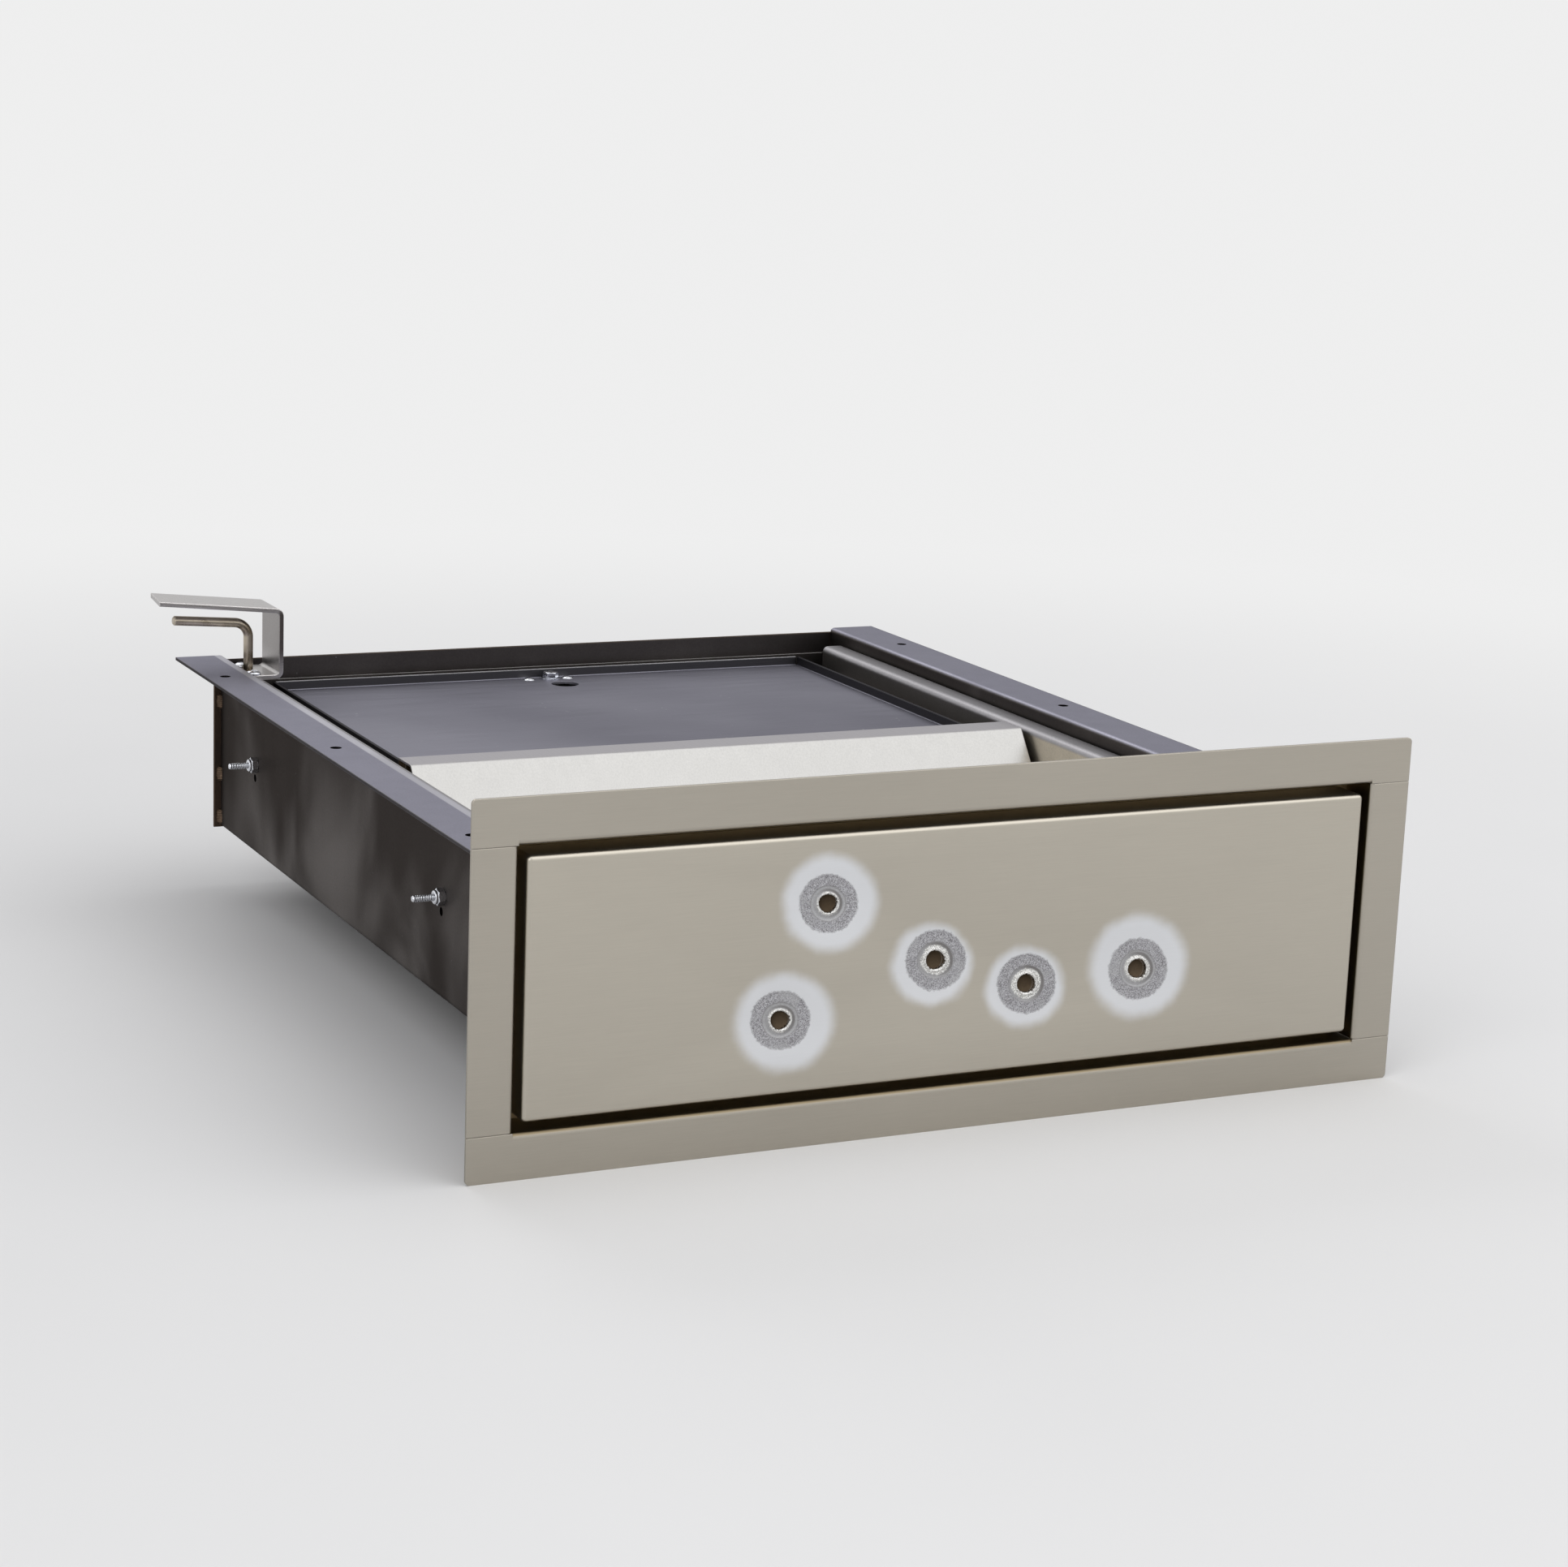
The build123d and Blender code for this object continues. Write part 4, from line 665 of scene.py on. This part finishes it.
def outline(grow, y, inset=0.0):
    """The pan's outline at one depth."""
    x = corner_x + grow * np.cos(turns) - np.sign(corner_x) * inset
    z = corner_z + grow * np.sin(turns) - np.sign(corner_z - middle) * inset
    loop = np.stack([x, np.full(len(x), y), z], axis=-1)
    return np.vstack([loop, loop[:1]])


fall = np.linspace(0, pi / 2, 9)
skin = [outline(ROUND * np.sin(t), FACE + ROUND * (1 - np.cos(t))) for t in fall]
inner = ROUND - SHEET
skin += [outline(ROUND, BACK), outline(inner, BACK), outline(inner, FACE + SHEET)]
grids.append(np.stack(skin))


def within(ring, spots):
    """Whether spots lie in a ring: an odd number of its edges is crossed on the way out along x."""
    x, z = spots[:, None, 0], spots[:, None, 2]
    (ax, az), (bx, bz) = ring[:, [0, 2]].T, np.roll(ring, -1, axis=0)[:, [0, 2]].T
    crossed = (az > z) != (bz > z)
    rise = np.where(bz == az, 1.0, bz - az)
    return (crossed & (x < ax + (bx - ax) * (z - az) / rise)).sum(axis=1) % 2 == 1


def flat_sheet(border, rings, y):
    """The level sheet between an outline and the rings cut in it, as triangles."""
    loops = [border] + rings
    flat = [Vector((float(p[0]), float(p[2]))) for loop in loops for p in loop]
    edges, start = [], 0
    for loop in loops:
        count = len(loop)
        edges += [(start + k, start + (k + 1) % count) for k in range(count)]
        start += count
    points, _, faces, *_ = delaunay_2d_cdt(flat, edges, [], 0, 1e-6)
    spots = np.array([(p.x, y, p.y) for p in points])
    faces = np.array([face for face in faces if len(face) == 3])
    keep = np.ones(len(faces), bool)
    for ring in rings:
        keep &= ~within(ring, spots[faces].mean(axis=1))
    return spots, faces[keep]


signs = ((1, 1), (-1, 1), (-1, -1), (1, -1))
corners = np.array([[i * across, FACE, middle + j * tall] for i, j in signs])
front_points, front_faces = flat_sheet(corners, dish_rings, FACE)
inside = outline(inner, FACE + SHEET)[:-1]
back_points, back_faces = flat_sheet(inside, hole_rings, FACE + SHEET)
points, faces = joined(grids)
for spots, triangles in ((front_points, front_faces), (back_points, back_faces)):
    faces += (triangles + len(points)).tolist()
    points = np.vstack([points, spots])
mesh = bpy.data.meshes.new("panel_skin")
mesh.from_pydata((MM * points).tolist(), [], faces)

# One mark: masks by the distance from its middle, with a wandering edge
shot_mark, entry, leave = effect(
    "shot_mark",
    dict.fromkeys(("Halo", "Ground", "Inner", "Groove", "Lip", "Scorch"), "Float"),
    Vector=(0.0, 0.0, 0.0),
    Middle=(0.0, 0.0, 0.0),
    Halo_Shift=(0.0, 0.0, 0.0),
    Size=1.0,
    Reach=0.025,
    Lip_Radius=0.006,
)
tree = shot_mark
off = add(tree, "VectorMath", entry["Vector"], entry["Middle"], operation="SUBTRACT").outputs[0]
shrink = maths(tree, "DIVIDE", 1.0, entry["Size"])
off = add(tree, "VectorMath", off, operation="SCALE", Scale=shrink).outputs[0]
x, _, z = add(tree, "SeparateXYZ", off).outputs
right = maths(tree, "DIVIDE", x, WIDEN)
up = maths(tree, "ADD", maths(tree, "DIVIDE", z, HEIGHTEN), times(tree, right, LEAN))
plane = add(tree, "CombineXYZ", right, 0.0, up).outputs[0]
away = add(tree, "VectorMath", plane, operation="LENGTH").outputs["Value"]
wander = add(tree, "TexNoise", Vector=entry["Vector"], Scale=90.0, Detail=2.0).outputs[0]
wander = times(tree, maths(tree, "SUBTRACT", wander, 0.5), 3.5 * MM)
jag = add(tree, "TexNoise", Vector=entry["Vector"], Scale=650.0, Detail=2.0).outputs[0]
jag = times(tree, maths(tree, "SUBTRACT", jag, 0.5), 2.2 * MM)
tight = maths(tree, "ADD", away, times(tree, wander, 0.25))
torn = maths(tree, "ADD", maths(tree, "ADD", away, jag), times(tree, wander, 0.6))
loose = add(tree, "VectorMath", plane, entry["Halo Shift"], operation="DISTANCE").outputs["Value"]
loose = maths(tree, "ADD", loose, wander)
near_reach = times(tree, entry["Reach"], 0.80)
far_reach = times(tree, entry["Reach"], 1.12)
tree.links.new(ramp(tree, loose, near_reach, far_reach, 1.0, 0.0), leave["Halo"])
tree.links.new(falls(tree, maths(tree, "ADD", tight, jag), 14.8, 16.2), leave["Ground"])
tree.links.new(falls(tree, torn, 8.8, 10.2), leave["Inner"])
# Painted shade under the recess's upper right edge, and a faint painted dark line round the step
shade_ring_at = maths(tree, "ADD", entry["Lip Radius"], 1.0 * MM)
shade = falls(tree, maths(tree, "ABSOLUTE", maths(tree, "SUBTRACT", tight, shade_ring_at)), 0.3, 1.3)
aside = maths(tree, "DIVIDE", maths(tree, "ADD", right, times(tree, up, 0.5)), STEP * MM)
shade = times(tree, shade, ramp(tree, aside, -0.6, 0.9, 0.3, 1.0))
line = falls(tree, maths(tree, "ABSOLUTE", maths(tree, "SUBTRACT", tight, 9.4 * MM)), 0.1, 0.6)
tree.links.new(maths(tree, "MAXIMUM", shade, times(tree, line, 0.4)), leave["Groove"])
past = maths(tree, "SUBTRACT", torn, entry["Lip Radius"])
tree.links.new(falls(tree, past, -0.2, 0.6), leave["Lip"])
# Darker brown over the hole and its curled edge
tree.links.new(falls(tree, away, 4.5, 5.0), leave["Scorch"])

panel_finish = brushed_steel(
    "panel_finish", tone(189, 183, 171), length=0.03, contrast=0.07, cloud=0.1, edge=0.0, bump=0.08
)
tree, shader, place, colour = reopen(panel_finish)
masks = None
for x, z, size, reach, right, up, lip in MARKS:
    found = use(
        tree, shot_mark, Vector=place, Middle=(x * MM, 0.0, z * MM), Size=size,
        Halo_Shift=(right * MM, 0.0, up * MM), Reach=reach * MM, Lip_Radius=lip * MM,
    )
    if masks is None:
        masks = {socket.name: socket for socket in found}
    else:
        masks = {name: maths(tree, "MAXIMUM", masks[name], found[name]) for name in masks}
sparkle = add(
    tree, "TexNoise", Vector=place, Scale=2000.0, Detail=2.0, Roughness=0.7
).outputs[0]
broad = add(tree, "TexNoise", Vector=place, Scale=75.0, Detail=1.0).outputs[0]
ground = blend(tree, ramp(tree, sparkle, 0.36, 0.66), tone(132, 130, 133), tone(204, 204, 208))
smooth = blend(tree, ramp(tree, sparkle, 0.3, 0.7), tone(170, 170, 172), tone(190, 190, 192))
ground = blend(tree, times(tree, ramp(tree, broad, 0.52, 0.66), 0.6), ground, smooth)
lip = blend(tree, ramp(tree, sparkle, 0.38, 0.6), tone(168, 166, 163), tone(248, 248, 246))
# The dark layer of 112, 108, 106 is painted shade in each recess
for layer, share, paint in (
    ("Halo", 0.9, tone(228, 230, 234)),
    ("Ground", 1.0, ground),
    ("Inner", 1.0, smooth),
    ("Lip", 1.0, lip),
    ("Groove", 0.75, tone(112, 108, 106)),
    ("Scorch", 1.0, tone(66, 54, 42)),
):
    colour = blend(tree, times(tree, masks[layer], share), colour, paint)
tree.links.new(colour, shader.inputs["Base Color"])
grain_rough = shader.inputs["Roughness"].links[0].from_socket
rough = maths(tree, "ADD", grain_rough, times(tree, masks["Halo"], 0.2))
tree.links.new(rough, shader.inputs["Roughness"])
close("panel_skin", mesh, panel_finish, "drawer", ["front_skin"], 35)

# The plates behind the skin: hot rolled hard plate, glass fibre and a stainless back
plate_finish = mill_steel(
    "plate_finish", tone(84, 72, 58), tone(112, 98, 82), roughness=0.55
)
dress(plate_finish, "front_armor_plate", "rear_armor_plate")
laminate_finish, tree, shader, place = blank("laminate_finish")
weave = add(tree, "TexNoise", Vector=place, Scale=700.0, Detail=3.0).outputs[0]
resin = blend(tree, weave, tone(168, 156, 112), tone(206, 198, 158))
tree.links.new(resin, shader.inputs["Base Color"])
tree.links.new(ramp(tree, weave, 0.3, 0.7, 0.5, 0.7), shader.inputs["Roughness"])
dress(laminate_finish, "front_laminate")
dress(drawer_finish, "front_back_plate")
dress(screw_finish, "front_panel_bolts")


# ---- Scoop ----
# One sheet bent to a slope the hand can reach down, brushed up and down the slope and lipped
# over the hard plate behind it.
# Its rounded edges get a painted highlight
scoop_finish = brushed_steel(
    "scoop_finish", tone(175, 174, 172), turn=(0, 0, radians(90)), length=0.03, width=0.0010,
    contrast=0.20, roughness=0.36, grazing=(0.8, 0.8, 0.8, 1.0),
)
# Its lip over the hard plate is greyer
tree, shader, place, colour = reopen(scoop_finish)
_, y, z = add(tree, "SeparateXYZ", place).outputs
lip = times(tree, rises(tree, z, -12.5, -9.8), rises(tree, y, -18.0, -14.5))
tree.links.new(blend(tree, lip, colour, tone(172, 169, 173)), shader.inputs["Base Color"])
dress(scoop_finish, "scoop_plate")


# ---- Deck ----
# The lid over the teller's compartment: dark satin stainless with three rims turned up, hung
# on a long hinge and held shut by two magnets under a striker.
deck_finish, tree, shader, place = blank("deck_finish")
grain = use(tree, brushed_grain, Vector=place, Length=0.05, Width=0.0008)
edges = use(tree, soft_edges, Radius=0.0007)
specks = add(tree, "TexVoronoi", Vector=place, Scale=150.0).outputs["Distance"]
thin = add(tree, "TexNoise", Vector=place, Scale=38.0, Detail=3.0).outputs[0]
dust = times(tree, ramp(tree, specks, 0.05, 0.16, 1.0, 0.0), ramp(tree, thin, 0.52, 0.7))
clouds = ramp(tree, grain["Cloud"], 0.3, 0.7)
sheet = blend(tree, clouds, tone(128, 127, 137), tone(150, 149, 159))
sheet = blend(tree, times(tree, grain["Lines"], 0.2), sheet, tone(150, 150, 160))
sheet = blend(tree, times(tree, dust, 0.5), sheet, tone(196, 196, 200))
# The rims are painted darker than the plate, as shade, and the rear one has a painted highlight
# along its crest
_, y, z = add(tree, "SeparateXYZ", place).outputs
sheet = blend(tree, rises(tree, z, -23.6, -23.0), sheet, tone(74, 73, 76))
crest_highlight = times(tree, rises(tree, z, -18.3, -17.9), rises(tree, y, 289.3, 290.3))
sheet = blend(tree, crest_highlight, sheet, tone(232, 231, 234))
tree.links.new(sheet, shader.inputs["Base Color"])
tree.links.new(ramp(tree, grain["Lines"], 0.2, 0.8, 0.42, 0.55), shader.inputs["Roughness"])
tree.links.new(edges["Normal"], shader.inputs["Normal"])
shader.inputs["Metallic"].default_value = 1.0
shader.inputs["Specular Tint"].default_value = (0.45, 0.45, 0.45, 1.0)
dress(deck_finish, "deck_plate")
dress(slide_finish, "hinge_fixed_leaf", "hinge_moving_leaf", "hinge_pin", "catch_striker")
dress(screw_finish, "striker_washer", "striker_nut", "striker_rivets")

# Striker bolt: a chamfered hexagon head on a plain shank
BOLT_SEAT = (1.0, 282.6, -22.6)
radii, heights = hexagon(9.5, 4.0, 0.0, 0.8)
grids = [around(BOLT_SEAT, (0, 0, 1), radii, heights, 0.25)]
shank = np.array([[3.0], [3.0], [2.5], [0.0]]) * np.ones((1, 33))
drop = np.array([[0.0], [9.9], [10.4], [10.4]]) * np.ones((1, 33))
grids.append(around(BOLT_SEAT, (0, 0, -1), shank, drop))
solid("striker_hexagon_bolt", grids, screw_finish, "deck_lid", ["striker_bolt"])

magnet_finish, tree, shader, place = blank("magnet_finish")
grit = add(tree, "TexNoise", Vector=place, Scale=600.0, Detail=2.0).outputs[0]
ferrite = blend(tree, grit, tone(46, 44, 43), tone(72, 70, 68))
tree.links.new(ferrite, shader.inputs["Base Color"])
tree.links.new(ramp(tree, grit, 0.3, 0.7, 0.5, 0.7), shader.inputs["Roughness"])
dress(magnet_finish, "catch_magnets")


# ---- Handle ----
# A bent strap of flat bar with its edges broken, screwed to the drawer's top flange, and a
# bright drawn rod beside its leg that lifts out of the keeper.
# Its rounded edges get a painted highlight
strap_finish = brushed_steel(
    "strap_finish", tone(197, 194, 193), length=0.04, width=0.0007, contrast=0.12, roughness=0.3,
    edge=0.0011, highlight_strength=0.5,
)
# The leg's inner side is browner between its bends
tree, shader, place, colour = reopen(strap_finish)
x, _, z = add(tree, "SeparateXYZ", place).outputs
leg = times(
    tree,
    rises(tree, x, -204.5, -202.5),
    rises(tree, z, -8.0, 12.0),
    falls(tree, z, 34.0, 39.0),
    0.9,
)
tree.links.new(blend(tree, leg, colour, tone(92, 84, 80)), shader.inputs["Base Color"])
dress(strap_finish, "handle_strap")
dress(drawer_finish, "rod_guide")
dress(screw_finish, "rod_clip")
rod_finish, tree, shader, place = blank("rod_finish")
bands = add(tree, "TexNoise", Vector=place, Scale=60.0, Detail=3.0).outputs[0]
drawn = blend(tree, ramp(tree, bands, 0.35, 0.65), tone(128, 114, 94), tone(186, 176, 160))
edges = use(tree, soft_edges, Radius=0.0006)
# Painted highlight on the rod's rounded edges
drawn = blend(tree, times(tree, edges["Wear"], 0.7), drawn, tone(232, 232, 236))
tree.links.new(drawn, shader.inputs["Base Color"])
tree.links.new(ramp(tree, bands, 0.3, 0.7, 0.18, 0.32), shader.inputs["Roughness"])
tree.links.new(edges["Normal"], shader.inputs["Normal"])
shader.inputs["Metallic"].default_value = 1.0
dress(rod_finish, "lock_rod")

# Pan heads with a cross recess: h falls by up to 1.5 mm where |x| or |y| < 0.55 mm
HANDLE_SCREWS_AT = ((-219.45, 262.0), (-219.5, 290.0))
STRAP_TOP, NUT_SEAT, HEAD = -6.3, -11.2, 4.8
grids = []
for x, y in HANDLE_SCREWS_AT:
    share = np.linspace(0, 1, 33)[:, None] * np.ones((1, 73))
    bearing = np.linspace(0, 2 * pi, 73)[None, :] + 0 * share
    radius = HEAD * share
    crown = 2.8 - 1.5 * share**4
    crown[-1] = 1.0
    slot_x = np.abs(radius * np.cos(bearing))
    slot_y = np.abs(radius * np.sin(bearing))
    cross = np.minimum(slot_x, slot_y) < 0.55
    crown -= 1.5 * (cross & (radius < 2.5)) * np.clip((2.9 - radius) / 2.0, 0, 1)
    grids.append(around((x, y, STRAP_TOP), (0, 0, 1), radius, crown, 0.4))
    side = np.array([[HEAD], [HEAD], [2.085], [2.085], [0.0]]) * np.ones((1, 73))
    low = np.array([[1.0], [0.0], [0.0], [-10.1], [-10.1]]) * np.ones((1, 73))
    grids.append(around((x, y, STRAP_TOP), (0, 0, 1), side, low, 0.4))
solid("pan_head_screws", grids, screw_finish, "drawer", ["handle_screws"])
grids = []
for x, y in HANDLE_SCREWS_AT:
    radii, heights = hexagon(7.0, 3.2, 2.15, 0.6)
    grids.append(around((x, y, NUT_SEAT), (0, 0, -1), radii, heights))
solid("handle_hexagon_nuts", grids, screw_finish, "drawer", ["handle_nuts"])


# ---- Studio ----
# A matt floor that fades into the pale surround away from the part, and three broad soft
# lamps. None of it belongs to the part.
FLOOR_HALF, FLOOR_LEVEL = 14.0, -0.1598
floor_mesh = bpy.data.meshes.new("floor")
signs = ((-1, -1), (1, -1), (1, 1), (-1, 1))
corners = [(FLOOR_HALF * i, FLOOR_HALF * j, FLOOR_LEVEL) for i, j in signs]
floor_mesh.from_pydata(corners, [], [(0, 1, 2, 3)])
floor_finish, tree, shader, place = blank("floor_finish")
mottle = add(tree, "TexNoise", Vector=place, Scale=3.0, Detail=2.0).outputs[0]
plain = blend(tree, mottle, (0.80, 0.80, 0.80, 1), (0.84, 0.84, 0.84, 1))
tree.links.new(plain, shader.inputs["Base Color"])
shader.inputs["Roughness"].default_value = 0.9
shader.inputs["Specular IOR Level"].default_value = 0.1
ray = tree.nodes.new("ShaderNodeLightPath").outputs
seen = maths(tree, "MAXIMUM", ray["Is Camera Ray"], ray["Is Glossy Ray"])
seen = maths(tree, "MAXIMUM", seen, ray["Is Transmission Ray"])
away = add(tree, "VectorMath", place, operation="LENGTH").outputs["Value"]
far = times(tree, ramp(tree, away, 0.5, 1.9), seen)
haze = add(tree, "Emission", Color=(0.86, 0.86, 0.86, 1), Strength=1.0).outputs[0]
both = add(tree, "MixShader", far, shader.outputs[0], haze).outputs[0]
out = next(n for n in tree.nodes if n.bl_idname == "ShaderNodeOutputMaterial")
tree.links.new(both, out.inputs["Surface"])
floor_mesh.materials.append(floor_finish)
floor = bpy.data.objects.new("floor", floor_mesh)
bpy.context.scene.collection.objects.link(floor)

world = bpy.data.worlds.new("surround")
bpy.context.scene.world = world
world.use_nodes = True
tree = world.node_tree
tree.nodes.clear()
ray = tree.nodes.new("ShaderNodeLightPath").outputs
seen = maths(tree, "MAXIMUM", ray["Is Camera Ray"], ray["Is Glossy Ray"])
seen = maths(tree, "MAXIMUM", seen, ray["Is Transmission Ray"])
light = blend(tree, seen, (0.50, 0.50, 0.51, 1), (0.86, 0.86, 0.86, 1))
sky = add(tree, "Background", Color=light, Strength=1.0)
tree.links.new(sky.outputs[0], tree.nodes.new("ShaderNodeOutputWorld").inputs["Surface"])


def lamp(name, place, aim, size, power):
    """A square soft lamp that looks at a point."""
    light = bpy.data.lights.new(name, "AREA")
    light.shape = "SQUARE"
    light.size = size
    light.energy = power
    made = bpy.data.objects.new(name, light)
    look = Vector(aim) - Vector(place)
    facing = look.to_track_quat("-Z", "Y").to_matrix().to_4x4()
    made.matrix_world = Matrix.Translation(place) @ facing
    bpy.context.scene.collection.objects.link(made)


lamp("overhead", (0.9, -0.8, 1.9), (0, -0.1, -0.05), 3.2, 31)
lamp("left", (-2.2, -1.6, 1.8), (0, -0.1, -0.05), 1.6, 14)
lamp("behind", (-0.4, 2.4, 2.2), (0, 0, 0), 1.6, 12)

# The camera, solved from the faceplate's corners and the flange holes. Angles in degrees
TURN, TILT, ROLL = -26.143, 90 - 12.558, 2.271
lens = bpy.data.cameras.new("camera")
lens.lens = 76.95
lens.sensor_width = 36.0
lens.clip_end = 60.0
camera = bpy.data.objects.new("camera", lens)
turn = (
    Matrix.Rotation(radians(TURN), 4, "Z")
    @ Matrix.Rotation(radians(TILT), 4, "X")
    @ Matrix.Rotation(radians(ROLL), 4, "Z")
)
camera.matrix_world = Matrix.Translation((-0.8643, -1.8573, 0.4209)) @ turn
bpy.context.scene.collection.objects.link(camera)
bpy.context.scene.camera = camera
bpy.context.scene.view_settings.view_transform = "Standard"
